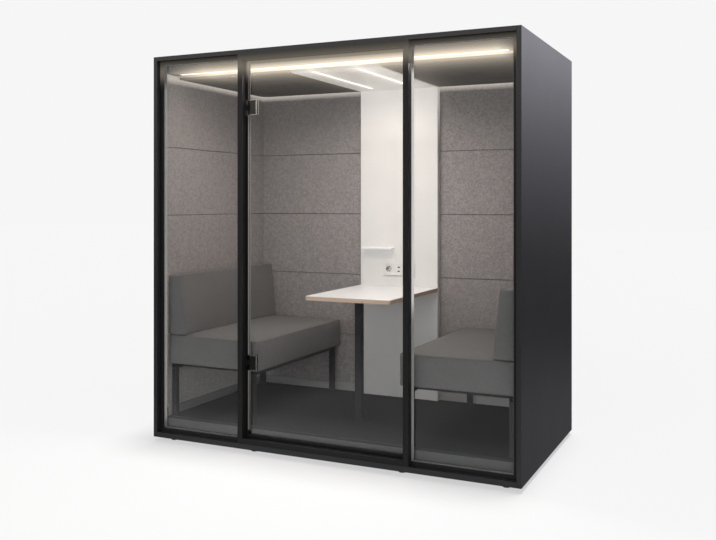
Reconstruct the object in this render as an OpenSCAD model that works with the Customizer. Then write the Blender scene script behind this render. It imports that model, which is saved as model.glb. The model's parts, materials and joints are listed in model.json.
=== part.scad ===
// Acoustic office pod: a dark shell with a glass front, a glass swing door, felt lined walls,
// two upholstered benches, a small table on a white service column, lights and two ceiling fans.
// Millimetres. X runs to the right, Y from the glass front to the back, Z up.
// The origin is on the floor under the middle of the pod.

/* [Shell] */
// Overall width of the pod
pod_w = 2200; // [2000:10:2600]
// Overall depth of the pod
pod_d = 1200; // [1100:10:1500]
// Height of the shell without its feet
shell_h = 2233; // [2150:1:2400]
// Thickness of the side and back panels
side_t = 25; // [18:1:36]
// Thickness of the roof panel
roof_t = 24; // [18:1:36]
// Thickness of the base panel
base_t = 28; // [20:1:40]
// Chamfer along the front edges of the side panels
edge_chamfer = 1.5; // [0.5:0.5:3]

/* [Feet] */
// Gap between the ground and the base panel
foot_h = 25; // [20:1:60]
// Diameter of a foot's pad
foot_d = 40; // [30:1:60]
// Diameter of a foot's threaded stem
foot_stem_d = 10; // [8:1:16]
// Distance from the pod's side to the outer feet
foot_side_in = 95; // [60:5:200]
// Distance from a post's centre line to the inner feet
foot_post_in = 50; // [40:5:150]
// Distance from the front and back edges to the feet
foot_edge_in = 80; // [32:1:120]

/* [Floor] */
// Height of the floor joists
joist_h = 59; // [40:1:100]
// Width of a floor joist
joist_w = 40; // [30:1:60]
// Thickness of the floor deck
deck_t = 18; // [12:1:25]
// Thickness of the carpet
carpet_t = 6; // [4:0.5:12]
// Thickness of the riser behind the glass
riser_t = 12; // [8:1:20]

/* [Front frame] */
// Distance between the centre lines of the two door posts
post_pitch = 1000; // [900:10:1100]
// Width of a door post
post_w = 30; // [28:1:50]
// Depth of a door post
post_d = 75; // [70:1:110]
// Height of the header over the door
header_h = 33; // [25:1:60]
// Height of the threshold under the door
threshold_h = 29; // [20:1:40]
// Width of the slim glazing profile around a fixed pane
profile_w = 22; // [18:1:40]
// Depth of the slim glazing profile
profile_d = 28; // [26:1:44]
// Setback of the glazing profile from the shell's front
profile_setback = 30; // [20:1:34]
// Setback of all glass from the shell's front
glass_recess = 46; // [44:1:48]
// Thickness of the glass
glass_t = 10; // [8:1:12]
// Depth by which a fixed pane sits in its grooves
glass_bite = 10; // [6:1:12]
// Thickness of a glazing gasket
gasket_t = 2; // [1:0.5:3]
// Width by which a gasket shows beside its profile
gasket_lip = 2; // [1:0.5:4]
// Width of the inner upright gaskets beside a pane's rebate
gasket_cover = 8; // [3:0.5:12]

/* [Door] */
// Gap between the door and its frame
door_gap = 3; // [2:0.5:6]
// Face width of the door's edge profile
door_profile_w = 15; // [12:1:25]
// Depth of the door's edge profile
door_profile_d = 20; // [16:1:24]
// Depth by which the door glass sits in its edge profile
door_bite = 8; // [5:1:10]
// Section of the rubber stop behind the door
stop_s = 10; // [6:1:12]
// Distance from the hinge post's face to the door's pivot axis
hinge_axis_in = 22; // [22:0.5:30]
// Height of the lower hinge's middle over the threshold
hinge_low = 420; // [200:10:700]
// Drop of the upper hinge's middle below the header
hinge_high = 264; // [150:1:600]
// Width of a hinge's clamp plates
clamp_w = 54; // [45:1:70]
// Height of a hinge's clamp plates
clamp_h = 88; // [78:1:110]
// Thickness of a hinge's clamp plates
clamp_t = 7; // [5:0.5:9]
// Diameter of a hinge pin
pin_d = 8; // [6:0.5:9]

/* [Walls] */
// Thickness of the sound absorbing core behind the felt
core_t = 13; // [8:1:40]
// Thickness of the felt boards
felt_t = 12; // [8:1:20]
// Height of the lowest felt seam over the floor
first_seam = 378; // [250:1:500]
// Height of one row of felt boards
felt_row_h = 406; // [300:1:500]
// Width of the seam between two felt boards
seam_w = 3; // [2:0.5:6]
// Height of the skirting
skirting_h = 49; // [30:1:100]
// Distance by which the skirting stands proud of the felt
skirting_proud = 4; // [1:0.5:8]

/* [Column] */
// Width of the white service column, its ceiling panel and the table
column_w = 540; // [480:5:620]
// Depth of the column
column_d = 65; // [60:1:110]
// Thickness of the column's board
column_t = 18; // [12:1:22]
// Width of the small shelf
shelf_w = 215; // [150:5:260]
// Depth of the small shelf
shelf_d = 60; // [40:1:120]
// Thickness of the small shelf's plate
shelf_t = 12; // [6:1:20]
// Height of the small shelf's back leg
shelf_leg_h = 36; // [24:1:60]
// Height of the small shelf's top over the floor
shelf_up = 974; // [900:1:1200]
// Distance from the column's middle to the small shelf's middle
shelf_left = 133; // [110:1:140]
// Height of the socket row's middle over the floor
socket_up = 832; // [790:1:880]
// Distance from the column's middle to the socket row's middle
socket_right = 6; // [-20:1:20]
// Distance between neighbouring sockets in the row
socket_pitch = 71; // [68:0.5:76]
// Height of the socket frame
socket_frame_h = 81; // [76:1:90]
// Distance by which the socket frame stands proud of the column
socket_proud = 9; // [7:0.5:14]
// Side of a square socket insert
insert_s = 55; // [50:1:60]
// Travel of a push button
button_travel = 2; // [1:0.5:3]

/* [Ceiling] */
// Distance from the roof panel down to the ceiling panels' underside
ceiling_drop = 91; // [78:1:140]
// Thickness of the ceiling panels
ceiling_t = 12; // [9:1:18]
// Distance by which the white centre panel hangs lower
centre_drop = 5; // [4:1:25]
// Distance by which the front soffit lies higher
soffit_rise = 25; // [10:1:30]
// Depth of the front soffit behind the posts
soffit_d = 95; // [70:1:140]
// Gap between the ceiling panels and the felt, where the cove light falls through
cove_gap = 12; // [6:1:30]
// Radius of the ceiling panels' back corners
ceiling_corner_r = 60; // [20:1:120]
// Gap between the side walls and the front light's ends
front_light_end = 50; // [20:5:300]
// Distance from the posts back to the front light's middle
front_light_in = 60; // [40:1:70]
// Width of the front light's channel
front_light_w = 24; // [18:1:30]
// Gap between the centre panel's front edge and its lights
bar_light_front = 27; // [15:1:120]
// Gap between the centre panel's lights and the column
bar_light_back = 107; // [20:1:200]
// Width of the two lights in the centre panel
bar_light_w = 20; // [14:1:30]
// Distance of each centre light from the middle
bar_light_x = 138; // [60:1:200]
// Height of the light channels
light_channel_h = 15; // [14:1:22]

/* [Fans] */
// Side of a square fan housing
fan_s = 120; // [92:1:140]
// Height of a fan housing
fan_h = 25; // [20:1:38]
// Diameter of a fan rotor's hub
fan_hub_d = 40; // [30:1:50]
// Number of blades on a fan rotor
fan_blades = 7; // [5:1:9]
// Distance of each fan from the middle of the pod
fan_x = 650; // [450:10:750]
// Position of the fans behind the middle of the pod
fan_y = 50; // [-150:10:250]

/* [Table] */
// Length of the table from the column to its front edge
table_len = 780; // [500:5:900]
// Height of the table's top over the floor
table_h = 721; // [680:1:760]
// Thickness of the plywood board
board_t = 23; // [18:1:30]
// Thickness of the white laminate
laminate_t = 1; // [0.8:0.1:2]
// Radius of the table's front corners
table_corner_r = 20; // [10:1:120]
// Side of the square table leg
table_leg_s = 40; // [30:1:60]
// Wall of the steel tubes
tube_wall = 2; // [1.5:0.5:3]
// Distance from the table's front edge to the leg's middle
table_leg_in = 180; // [100:5:350]

/* [Benches] */
// Depth of a seat from the wall to its front edge
seat_w = 620; // [520:5:640]
// Gap between the posts' back and a bench's front end
bench_front_gap = 5; // [2:1:60]
// Gap between a bench and the felt of the back wall
bench_gap = 20; // [10:1:40]
// Height of the seat's crown over the floor
seat_up = 482; // [430:1:500]
// Thickness of a seat cushion
seat_t = 173; // [100:1:180]
// Height of a back cushion
back_h = 355; // [280:1:420]
// Thickness of a back cushion at its foot
back_foot_t = 127; // [95:1:140]
// Thickness of a back cushion at its top
back_top_t = 80; // [45:1:90]
// Radius of the cushions' edges
cushion_edge = 10; // [8:1:20]
// Rise of the cushions' crown
cushion_crown = 4; // [2:1:14]
// Distance by which the cushions' sides draw in between the corners
cushion_draw = 3; // [2:0.5:8]
// Thickness of the boards let into the foot of each cushion
cushion_board_t = 12; // [9:1:18]
// Side of the bench frame's square tube
bench_tube = 30; // [25:1:40]
// Setback of the bench frame from the seat's front edge
bench_frame_in = 40; // [20:1:80]
// Height of a bench foot's glide
glide_h = 5; // [3:1:10]

/* [Hidden] */
$fn = 64;
// Gap that keeps neighbouring pieces apart
clear = 0.5;
// Radial play of a shaft in its bore
play = 0.05;
// Joint between two bars or boards that meet
joint = 0.2;

half_w = pod_w / 2;
front_y = -pod_d / 2;
back_y = pod_d / 2;
shell_top = foot_h + shell_h;
base_top = foot_h + base_t;
roof_under = shell_top - roof_t;
in_x = half_w - side_t;
back_in = back_y - side_t;
wall_x = in_x - core_t - felt_t;
wall_y = back_in - core_t - felt_t;

deck_top = base_top + joist_h + deck_t;
floor_z = deck_top + carpet_t;
post_back = front_y + post_d;
profile_back = front_y + profile_setback + profile_d;
riser_gap = 1;
riser_y = post_back + riser_gap;
deck_y = riser_y + riser_t;

post_in = post_pitch / 2 - post_w / 2;
post_out = post_pitch / 2 + post_w / 2;
opening_z0 = base_top + threshold_h;
opening_z1 = roof_under - header_h;
glass_y = front_y + glass_recess + glass_t / 2;
groove_w = glass_t + 2 * gasket_t;
groove_deep = glass_bite + 1;
pane_x0 = post_out - glass_bite;
pane_x1 = in_x - profile_w + glass_bite;
pane_z0 = base_top + profile_w - glass_bite;
pane_z1 = roof_under - profile_w + glass_bite;

door_x = post_in - door_gap;
door_z0 = opening_z0 + door_gap;
door_z1 = opening_z1 - door_gap;
hinge_x = -post_in + hinge_axis_in;
hinge_zs = [opening_z0 + hinge_low, opening_z1 - hinge_high];
clamp_left = 7;
knuckle_r = glass_t / 2 + 2;
knuckle_half = 15;
knuckle_top = 31.5;
hinge_plate_t = 4;
hinge_plate_d = 34;
hinge_screw_d = 5;
hinge_screw_z = 36;
hinge_head_d = 8.5;
hinge_head_t = 2.5;
hinge_screw_len = 11;

ceiling_z = roof_under - ceiling_drop;
ceiling_top = ceiling_z + ceiling_t;
soffit_z = ceiling_z + soffit_rise;
soffit_back = post_back + soffit_d;
panel_x = wall_x - cove_gap;
panel_y = wall_y - cove_gap;
// Height by which the felt runs up behind the ceiling panels
felt_over = 10;
felt_top = ceiling_top + felt_over;
// Least height of the top row of felt boards
felt_row_least = 40;
felt_seams = [for (z = [floor_z + first_seam : felt_row_h : felt_top - felt_row_least]) z];
// Bottom and top of every row of felt boards, with a seam between neighbours
felt_rows = [
    for (i = [0:len(felt_seams)]) [
        i == 0 ? floor_z + skirting_h : felt_seams[i - 1] + seam_w / 2,
        i == len(felt_seams) ? felt_top : felt_seams[i] - seam_w / 2
    ]
];
batten_d = 30;
batten_back_in = 90;
batten_ys = [soffit_back, panel_y - batten_d - batten_back_in];
front_light_y = post_back + front_light_in;
front_light_len = 2 * (wall_x - front_light_end);
bar_light_y0 = soffit_back + bar_light_front;
bar_light_y1 = back_in - column_d - bar_light_back;
light_wall = 2;
diffuser_t = 4;
diffuser_drop = 3;
cove_strip = 8;
driver_w = 300;
driver_d = 50;
driver_h = 30;
fan_spots = [-fan_x, fan_x];
fan_bore_d = fan_s - 8;
fan_shaft_d = 4;
fan_spider_t = 4;
fan_tip_gap = 2;
fan_screw_in = 7.5;
fan_screw_d = 4.3;
fan_arm_w = 8;
// Gaps under and over a rotor in its housing
fan_gap = 2;
fan_hub_floor = 3;
vent_slot_w = 7;
vent_slots = 8;
vent_edge = 12;

column_y = back_in - column_d;
shelf_z = floor_z + shelf_up;
socket_z = floor_z + socket_up;
socket_xs = [for (i = [-1:1]) socket_right + i * socket_pitch];
box_hole_d = 60;
box_gap = 0.2;
box_wall = 1.8;
box_back_gap = 4;
neck_d = 46;
neck_len = 24;
insert_t = 6;
button_w = insert_s / 2 - 6;
button_h = insert_s - 11;
button_pitch = insert_s / 2 - 3;
button_proud = 2.5;
plunger_d = 8;
plunger_len = 10;

table_z = floor_z + table_h;
board_z = table_z - laminate_t - board_t;
table_back = column_y - clear;
table_front = table_back - table_len;
leg_y = table_front + table_leg_in;
leg_plate_s = 120;
leg_plate_t = 5;
bracket_leg = 50;
bracket_t = 5;
bracket_side_in = 175;

seat_top = floor_z + seat_up;
seat_z = seat_top - seat_t;
rail_z = seat_z - bench_tube;
bench_y1 = wall_y - bench_gap;
bench_y0 = post_back + bench_front_gap;
bench_len = bench_y1 - bench_y0;
seat_x0 = wall_x - seat_w;
// Gaps from a cushion to the wall and between the seat and the back
soft_gap = 1;
seat_x1 = wall_x - soft_gap;
back_z = seat_top + soft_gap;
// Gap around a board in its cushion, and between a cushion's foot and what is behind it
foot_gap = 0.2;
// Distance from a cushion's edge to its board
board_in = 25;
frame_wall_gap = 4;
frame_front_in = 20;
frame_back_in = 5;
// Setback of the front cross rail in the bench frame
cross_in = 80;
frame_x0 = seat_x0 + bench_frame_in;
frame_x1 = wall_x - skirting_proud - frame_wall_gap;
frame_y0 = bench_y0 + frame_front_in;
frame_y1 = bench_y1 - frame_back_in;
// Steps of a cushion's sides, corners, edges and crown
side_steps = 8;
arc_steps = 3;
edge_steps = 3;
crown_steps = 4;
cushion_corner = 22;

foot_pad_h = 10;
foot_nut_h = 6;
// Board left over a foot's stem
stem_cover = 3;
angle_leg = 40;
angle_len = 60;
angle_t = 4;
// Distance from an angle's corner to its screws
angle_screw_in = 24;
angle_y = pod_d / 4;
screw_d = 5;
screw_head_d = 9;
screw_head_h = 3;
screw_len = 12;
screw_row = 36;

inlet_w = 48;
inlet_h = 28;
inlet_rim = 7;
inlet_rim_t = 3;
inlet_body_d = 40;
inlet_up = 64;
inlet_z = floor_z + inlet_up;

black = [0.06, 0.06, 0.07];
anthracite = [0.13, 0.13, 0.15];
felt_grey = [0.46, 0.45, 0.44];
seat_grey = [0.32, 0.32, 0.32];
white = [0.88, 0.87, 0.85];
steel = [0.62, 0.63, 0.65];
glass_tint = [0.75, 0.80, 0.82, 0.35];
light_white = [1.0, 0.97, 0.90];
ply = [0.76, 0.62, 0.46];

// A box between two opposite corners
module block(low, high) {
    translate(low) cube(high - low);
}

// A box with a chamfer along both upright edges of its front
module chamfered_slab(low, high, c) {
    translate([0, 0, low.z])
        linear_extrude(high.z - low.z)
            polygon([
                [low.x + c, low.y], [high.x - c, low.y], [high.x, low.y + c],
                [high.x, high.y], [low.x, high.y], [low.x, low.y + c]
            ]);
}

// The same children at the right and, mirrored, at the left
module both_sides() {
    children();
    mirror([1, 0, 0]) children();
}

// Square tube along Z, open at both ends
module tube_z(x, y, s, z0, z1) {
    difference() {
        block([x - s / 2, y - s / 2, z0], [x + s / 2, y + s / 2, z1]);
        block([x - s / 2 + tube_wall, y - s / 2 + tube_wall, z0 - 1],
              [x + s / 2 - tube_wall, y + s / 2 - tube_wall, z1 + 1]);
    }
}

// Square tube along Y, open at both ends
module tube_y(x, z, s, y0, y1) {
    translate([x, y1, z]) rotate([90, 0, 0]) tube_z(0, 0, s, 0, y1 - y0);
}

// Square tube along X, open at both ends
module tube_x(y, z, s, x0, x1) {
    translate([x0, y, z]) rotate([0, 90, 0]) tube_z(0, 0, s, 0, x1 - x0);
}

// Shell

module foot_places() {
    for (x = [half_w - foot_side_in, post_pitch / 2 - foot_post_in], sx = [-1, 1], sy = [-1, 1])
        translate([sx * x, sy * (pod_d / 2 - foot_edge_in), 0]) children();
}

// Screws of the corner angles: the children point along +Z, into the panel under them
module base_screw_places() {
    for (s = [-1, 1], y = [-angle_y, angle_y], dy = [-screw_row / 2, screw_row / 2])
        translate([s * (in_x - angle_screw_in), y + dy, base_top + angle_t]) children();
}

module roof_screw_places() {
    for (s = [-1, 1], y = [-angle_y, angle_y], dy = [-screw_row / 2, screw_row / 2])
        translate([s * (in_x - angle_screw_in), y + dy, roof_under - angle_t])
            rotate([180, 0, 0]) children();
}

module side_screw_places(s) {
    for (z = [base_top + angle_screw_in, roof_under - angle_screw_in],
         y = [-angle_y, angle_y], dy = [-screw_row / 2, screw_row / 2])
        translate([s * (in_x - angle_t), y + dy, z]) rotate([0, -s * 90, 0]) children();
}

module screw() {
    translate([0, 0, play]) cylinder(d = screw_head_d, h = screw_head_h);
    translate([0, 0, -screw_len]) cylinder(d = screw_d, h = screw_len + 1);
}

module screw_hole() {
    translate([0, 0, -screw_len - 1]) cylinder(d = screw_d + 2 * play, h = screw_len + 2);
}

module right_side_panel() {
    color(black)
        difference() {
            chamfered_slab([in_x, front_y, foot_h], [half_w, back_y, shell_top], edge_chamfer);
            side_screw_places(1) screw_hole();
        }
}

module left_side_panel() {
    mirror([1, 0, 0]) right_side_panel();
}

module back_panel() {
    color(black)
        difference() {
            block([-in_x, back_in, base_top], [in_x, back_y, roof_under]);
            translate([0, 0, inlet_z]) {
                block([-inlet_w / 2, back_in - 1, -inlet_h / 2], [inlet_w / 2, back_y + 1, inlet_h / 2]);
                block([-inlet_w / 2 - inlet_rim, back_y - inlet_rim_t, -inlet_h / 2 - inlet_rim],
                      [inlet_w / 2 + inlet_rim, back_y + 1, inlet_h / 2 + inlet_rim]);
            }
            // outlet slots of the fans, into the space over the ceiling
            for (x = fan_spots, i = [0:vent_slots - 1])
                translate([x + (i - (vent_slots - 1) / 2) * 2 * vent_slot_w, 0, 0])
                    block([-vent_slot_w / 2, back_in - 1, felt_top + vent_edge],
                          [vent_slot_w / 2, back_y + 1, roof_under - vent_edge]);
        }
}

module roof_panel() {
    color(black)
        difference() {
            block([-in_x, front_y, roof_under], [in_x, back_y, shell_top]);
            roof_screw_places() screw_hole();
        }
}

module base_panel() {
    color(black)
        difference() {
            block([-in_x, front_y, foot_h], [in_x, back_y, base_top]);
            base_screw_places() screw_hole();
            foot_places() cylinder(d = foot_stem_d + 2 * play, h = base_top - stem_cover);
        }
}

// Eight steel angles that join the panels, each with its four screws
module corner_angles() {
    color(steel) {
        base_screw_places() screw();
        roof_screw_places() screw();
        for (s = [-1, 1]) side_screw_places(s) screw();
        for (s = [-1, 1], y = [-angle_y, angle_y], up = [0, 1])
            translate([s * in_x, y - angle_len / 2, up == 0 ? base_top : roof_under])
                mirror([s > 0 ? 1 : 0, 0, 0])
                    mirror([0, 0, up])
                        difference() {
                            block([0, 0, 0], [angle_leg, angle_len, angle_leg]);
                            block([angle_t, -1, angle_t], [angle_leg + 1, angle_len + 1, angle_leg + 1]);
                            for (dy = [-screw_row / 2, screw_row / 2])
                                translate([0, angle_len / 2 + dy, 0]) {
                                    translate([angle_screw_in, 0, -1])
                                        cylinder(d = screw_d + 2 * play, h = angle_t + 2);
                                    translate([-1, 0, angle_screw_in])
                                        rotate([0, 90, 0]) cylinder(d = screw_d + 2 * play, h = angle_t + 2);
                                }
                        }
    }
}

// Each foot has a pad with its stem, and a hexagonal locknut under the base
module levelling_feet() {
    nut_d = foot_stem_d * 1.9;
    color(black)
        foot_places() {
            cylinder(d = foot_d, h = foot_pad_h);
            cylinder(d = foot_stem_d, h = base_top - stem_cover - 1);
            translate([0, 0, foot_h - foot_nut_h])
                difference() {
                    cylinder(d = nut_d, h = foot_nut_h, $fn = 6);
                    translate([0, 0, -1]) cylinder(d = foot_stem_d + 2 * play, h = foot_nut_h + 2);
                }
        }
}

// Floor

module floor_joists() {
    joist_end_in = 20;
    joist_side_in = 75;
    joist_xs = [for (i = [-2:2]) i * (in_x - joist_side_in) / 2];
    color(ply)
        for (x = joist_xs)
            block([x - joist_w / 2, deck_y + joist_end_in, base_top],
                  [x + joist_w / 2, wall_y - joist_end_in, base_top + joist_h]);
}

module floor_deck() {
    color(ply) block([-in_x + clear, deck_y, base_top + joist_h], [in_x - clear, back_in, deck_top]);
}

module carpet() {
    edge_x = wall_x - skirting_proud - clear;
    edge_y = wall_y - skirting_proud - clear;
    color([0.17, 0.17, 0.18])
        difference() {
            block([-edge_x, deck_y, deck_top], [edge_x, edge_y, floor_z]);
            block([-column_w / 2 - clear, column_y - clear, deck_top - 1],
                  [column_w / 2 + clear, edge_y + 1, floor_z + 1]);
        }
}

module floor_riser() {
    color([0.42, 0.42, 0.43]) {
        block([-wall_x, riser_y, base_top], [wall_x, deck_y, floor_z]);
        // its ends close the floor's edge under the wall linings
        block([-in_x + joint, riser_y, base_top], [in_x - joint, deck_y, deck_top - joint]);
    }
}

// Front frame

// A post with a rebate for a fixed pane in its outer side, open to the inside
module right_post() {
    color(black)
        difference() {
            block([post_in, front_y, base_top], [post_out, post_back, roof_under]);
            block([post_out - groove_deep, glass_y - groove_w / 2, base_top + profile_w - groove_deep],
                  [post_out + 1, post_back + 1, roof_under - profile_w + groove_deep]);
        }
}

module left_post() {
    color(black)
        difference() {
            mirror([1, 0, 0]) right_post();
            for (z = hinge_zs)
                translate([hinge_x, glass_y, z]) {
                    block([-hinge_axis_in - hinge_plate_t, -hinge_plate_d / 2 - clear, -clamp_h / 2 - clear],
                          [1 - hinge_axis_in, hinge_plate_d / 2 + clear, clamp_h / 2 + clear]);
                    hinge_screw_places()
                        translate([0, 0, -hinge_screw_len])
                            cylinder(d = hinge_screw_d + 2 * play, h = 2 * hinge_screw_len);
                }
        }
}

module door_header() {
    color(black) block([-post_in, front_y, opening_z1], [post_in, post_back, roof_under]);
}

module door_threshold() {
    color(black) block([-post_in, front_y, base_top], [post_in, post_back, opening_z0]);
}

// Three rebated bars around each fixed pane: along the side panel, the base and the roof
module glazing_profiles() {
    y0 = front_y + profile_setback;
    groove_y0 = glass_y - groove_w / 2;
    groove_y1 = profile_back + 1;
    color(anthracite) both_sides() {
        difference() {
            block([in_x - profile_w, y0, base_top + profile_w + joint],
                  [in_x, profile_back, roof_under - profile_w - joint]);
            block([in_x - profile_w - 1, groove_y0, base_top],
                  [in_x - profile_w + groove_deep, groove_y1, roof_under]);
        }
        difference() {
            block([post_out, y0, base_top], [in_x, profile_back, base_top + profile_w]);
            block([post_out - 1, groove_y0, base_top + profile_w - groove_deep],
                  [in_x - profile_w + groove_deep, groove_y1, base_top + profile_w + 1]);
        }
        difference() {
            block([post_out, y0, roof_under - profile_w], [in_x, profile_back, roof_under]);
            block([post_out - 1, groove_y0, roof_under - profile_w - 1],
                  [in_x - profile_w + groove_deep, groove_y1, roof_under - profile_w + groove_deep]);
        }
    }
}

module right_glass() {
    color(glass_tint)
        block([pane_x0, glass_y - glass_t / 2, pane_z0], [pane_x1, glass_y + glass_t / 2, pane_z1]);
}

module left_glass() {
    mirror([1, 0, 0]) right_glass();
}

// Rubber strips on both faces of each fixed pane, along its four edges; the inner uprights are wider
module glazing_gaskets() {
    level = glass_bite + gasket_lip;
    color([0.62, 0.62, 0.61])
        both_sides()
            for (strip = [[glass_y - glass_t / 2 - gasket_t, level],
                          [glass_y + glass_t / 2, glass_bite + gasket_cover]]) {
                y = strip[0];
                deep = strip[1];
                block([pane_x0, y, pane_z0], [pane_x0 + deep, y + gasket_t, pane_z1]);
                block([pane_x1 - deep, y, pane_z0], [pane_x1, y + gasket_t, pane_z1]);
                block([pane_x0 + deep, y, pane_z0], [pane_x1 - deep, y + gasket_t, pane_z0 + level]);
                block([pane_x0 + deep, y, pane_z1 - level], [pane_x1 - deep, y + gasket_t, pane_z1]);
            }
}

// Door

module door_glass() {
    inset = door_profile_w - door_bite;
    notch_gap = 2.5;
    color(glass_tint)
        difference() {
            block([-door_x + inset, glass_y - glass_t / 2, door_z0 + inset],
                  [door_x - inset, glass_y + glass_t / 2, door_z1 - inset]);
            // notch for the knuckles of each hinge
            for (z = hinge_zs)
                block([-door_x, glass_y - glass_t, z - knuckle_top - notch_gap],
                      [hinge_x + knuckle_r + notch_gap, glass_y + glass_t, z + knuckle_top + notch_gap]);
        }
}

// One bar of the door's edge profile along Z, with its groove towards +X
module door_bar(z0, z1) {
    difference() {
        block([0, -door_profile_d / 2, z0], [door_profile_w, door_profile_d / 2, z1]);
        block([door_profile_w - door_bite, -glass_t / 2, z0 - 1], [door_profile_w + 1, glass_t / 2, z1 + 1]);
    }
}

// The hinge side is broken into three bars, to leave room for the hinges
module door_edge_profile() {
    side_z0 = door_z0 + door_profile_w + joint;
    side_z1 = door_z1 - door_profile_w - joint;
    hinge_half = clamp_h / 2 + 1;
    inner_w = 2 * door_x;
    color(black)
        translate([0, glass_y, 0]) {
            translate([-door_x, 0, 0]) {
                door_bar(side_z0, hinge_zs[0] - hinge_half);
                door_bar(hinge_zs[0] + hinge_half, hinge_zs[1] - hinge_half);
                door_bar(hinge_zs[1] + hinge_half, side_z1);
            }
            mirror([1, 0, 0]) translate([-door_x, 0, 0]) door_bar(side_z0, side_z1);
            translate([door_x, 0, door_z0]) rotate([0, -90, 0]) door_bar(0, inner_w);
            translate([-door_x, 0, door_z1]) rotate([0, 90, 0]) door_bar(0, inner_w);
        }
}

// Rubber stop along the closing post and the header, just behind the door
module door_stop_seal() {
    y0 = glass_y + door_profile_d / 2 + clear;
    color(black) {
        block([post_in - stop_s, y0, opening_z0], [post_in, y0 + stop_s, opening_z1 - stop_s - joint]);
        block([hinge_x + 2 * stop_s, y0, opening_z1 - stop_s],
              [post_in, y0 + stop_s, opening_z1]);
    }
}

// Screws of a hinge plate: the children point along +Z, out of the post
module hinge_screw_places() {
    for (z = [-hinge_screw_z, hinge_screw_z])
        translate([-hinge_axis_in - hinge_plate_t, 0, z]) rotate([0, 90, 0]) children();
}

// Two plates that clamp the glass, with the outer knuckles between them
module hinge_clamps() {
    color(black)
        for (z = hinge_zs)
            translate([hinge_x, glass_y, z])
                difference() {
                    union() {
                        for (s = [-1, 1])
                            translate([0, s * (glass_t / 2 + clamp_t / 2), 0])
                                block([-clamp_left, -clamp_t / 2, -clamp_h / 2],
                                      [clamp_w - clamp_left, clamp_t / 2, clamp_h / 2]);
                        for (s = [0, 1])
                            mirror([0, 0, s])
                                translate([0, 0, knuckle_half + clear])
                                    cylinder(r = knuckle_r, h = knuckle_top - knuckle_half - clear);
                    }
                    // room for the middle knuckle and its arm, closed and open
                    block([-clamp_left - 1, -glass_t / 2 - clamp_t - 1, -knuckle_half - clear],
                          [knuckle_r + clear, glass_t / 2 + clamp_t + 1, knuckle_half + clear]);
                    translate([0, 0, -clamp_h]) cylinder(d = pin_d + 2 * play, h = 2 * clamp_h);
                }
}

// A plate let into the post, an arm, the middle knuckle and the pin, held by two screws
module hinge_brackets() {
    color(anthracite)
        for (z = hinge_zs)
            translate([hinge_x, glass_y, z]) {
                difference() {
                    union() {
                        block([-hinge_axis_in - hinge_plate_t, -hinge_plate_d / 2, -clamp_h / 2],
                              [-hinge_axis_in, hinge_plate_d / 2, clamp_h / 2]);
                        block([-hinge_axis_in - 1, -glass_t / 2 + 1, -knuckle_half],
                              [0, glass_t / 2 - 1, knuckle_half]);
                        translate([0, 0, -knuckle_half]) cylinder(r = knuckle_r, h = 2 * knuckle_half);
                        translate([0, 0, -knuckle_top]) cylinder(d = pin_d, h = 2 * knuckle_top);
                    }
                    hinge_screw_places() {
                        translate([0, 0, -1])
                            cylinder(d = hinge_screw_d + 2 * play, h = hinge_plate_t + 2);
                        translate([0, 0, hinge_plate_t - hinge_head_t])
                            cylinder(d = hinge_head_d + 2 * play, h = hinge_head_t + 1);
                    }
                }
                hinge_screw_places() {
                    translate([0, 0, hinge_plate_t - hinge_head_t + play])
                        cylinder(d = hinge_head_d, h = hinge_head_t - play);
                    translate([0, 0, -hinge_screw_len + 1])
                        cylinder(d = hinge_screw_d, h = hinge_screw_len + 1);
                }
            }
}

// Walls

module wall_cores() {
    color([0.25, 0.25, 0.26])
        both_sides() {
            block([in_x - core_t, profile_back, deck_top], [in_x, back_in, felt_top]);
            block([column_w / 2, back_in - core_t, deck_top], [in_x - core_t - joint, back_in, felt_top]);
        }
}

// Rows of boards on one side wall and on the back wall up to the column
module right_wall_felt() {
    color(felt_grey)
        for (row = felt_rows) {
            block([wall_x, profile_back, row[0]], [in_x - core_t, back_in - core_t, row[1]]);
            block([column_w / 2, wall_y, row[0]], [wall_x - joint, back_in - core_t, row[1]]);
        }
}

module left_wall_felt() {
    mirror([1, 0, 0]) right_wall_felt();
}

module skirting() {
    color([0.52, 0.52, 0.51])
        both_sides() {
            block([wall_x - skirting_proud, deck_y, deck_top],
                  [in_x - core_t, back_in - core_t, floor_z + skirting_h - joint]);
            block([column_w / 2, wall_y - skirting_proud, deck_top],
                  [wall_x - skirting_proud - joint, back_in - core_t, floor_z + skirting_h - joint]);
        }
}

// Column

// A board with two returns, open at the back, with round holes behind the socket row
module column_panel() {
    top = ceiling_z - centre_drop;
    color(white)
        difference() {
            block([-column_w / 2, column_y, deck_top], [column_w / 2, back_in, top]);
            block([-column_w / 2 + column_t, column_y + column_t, deck_top - 1],
                  [column_w / 2 - column_t, back_in + 1, top + 1]);
            for (x = socket_xs)
                translate([x, column_y - 1, socket_z])
                    rotate([-90, 0, 0]) cylinder(d = box_hole_d, h = column_t + 2);
        }
}

// A folded shelf: its plate stands out from the column over a leg that is screwed to it
module column_shelf() {
    color(white)
        translate([-shelf_left, column_y, shelf_z]) {
            block([-shelf_w / 2, -shelf_d, -shelf_t], [shelf_w / 2, 0, 0]);
            block([-shelf_w / 2, -shelf_t / 2, -shelf_leg_h], [shelf_w / 2, 0, 0]);
        }
}

module socket_frame() {
    w = 2 * socket_pitch + socket_frame_h;
    color(white)
        translate([socket_right, column_y, socket_z])
            difference() {
                block([-w / 2, -socket_proud, -socket_frame_h / 2], [w / 2, 0, socket_frame_h / 2]);
                for (i = [-1:1])
                    translate([i * socket_pitch, 0, 0])
                        block([-insert_s / 2, -socket_proud - 1, -insert_s / 2],
                              [insert_s / 2, 1, insert_s / 2]);
            }
}

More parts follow.
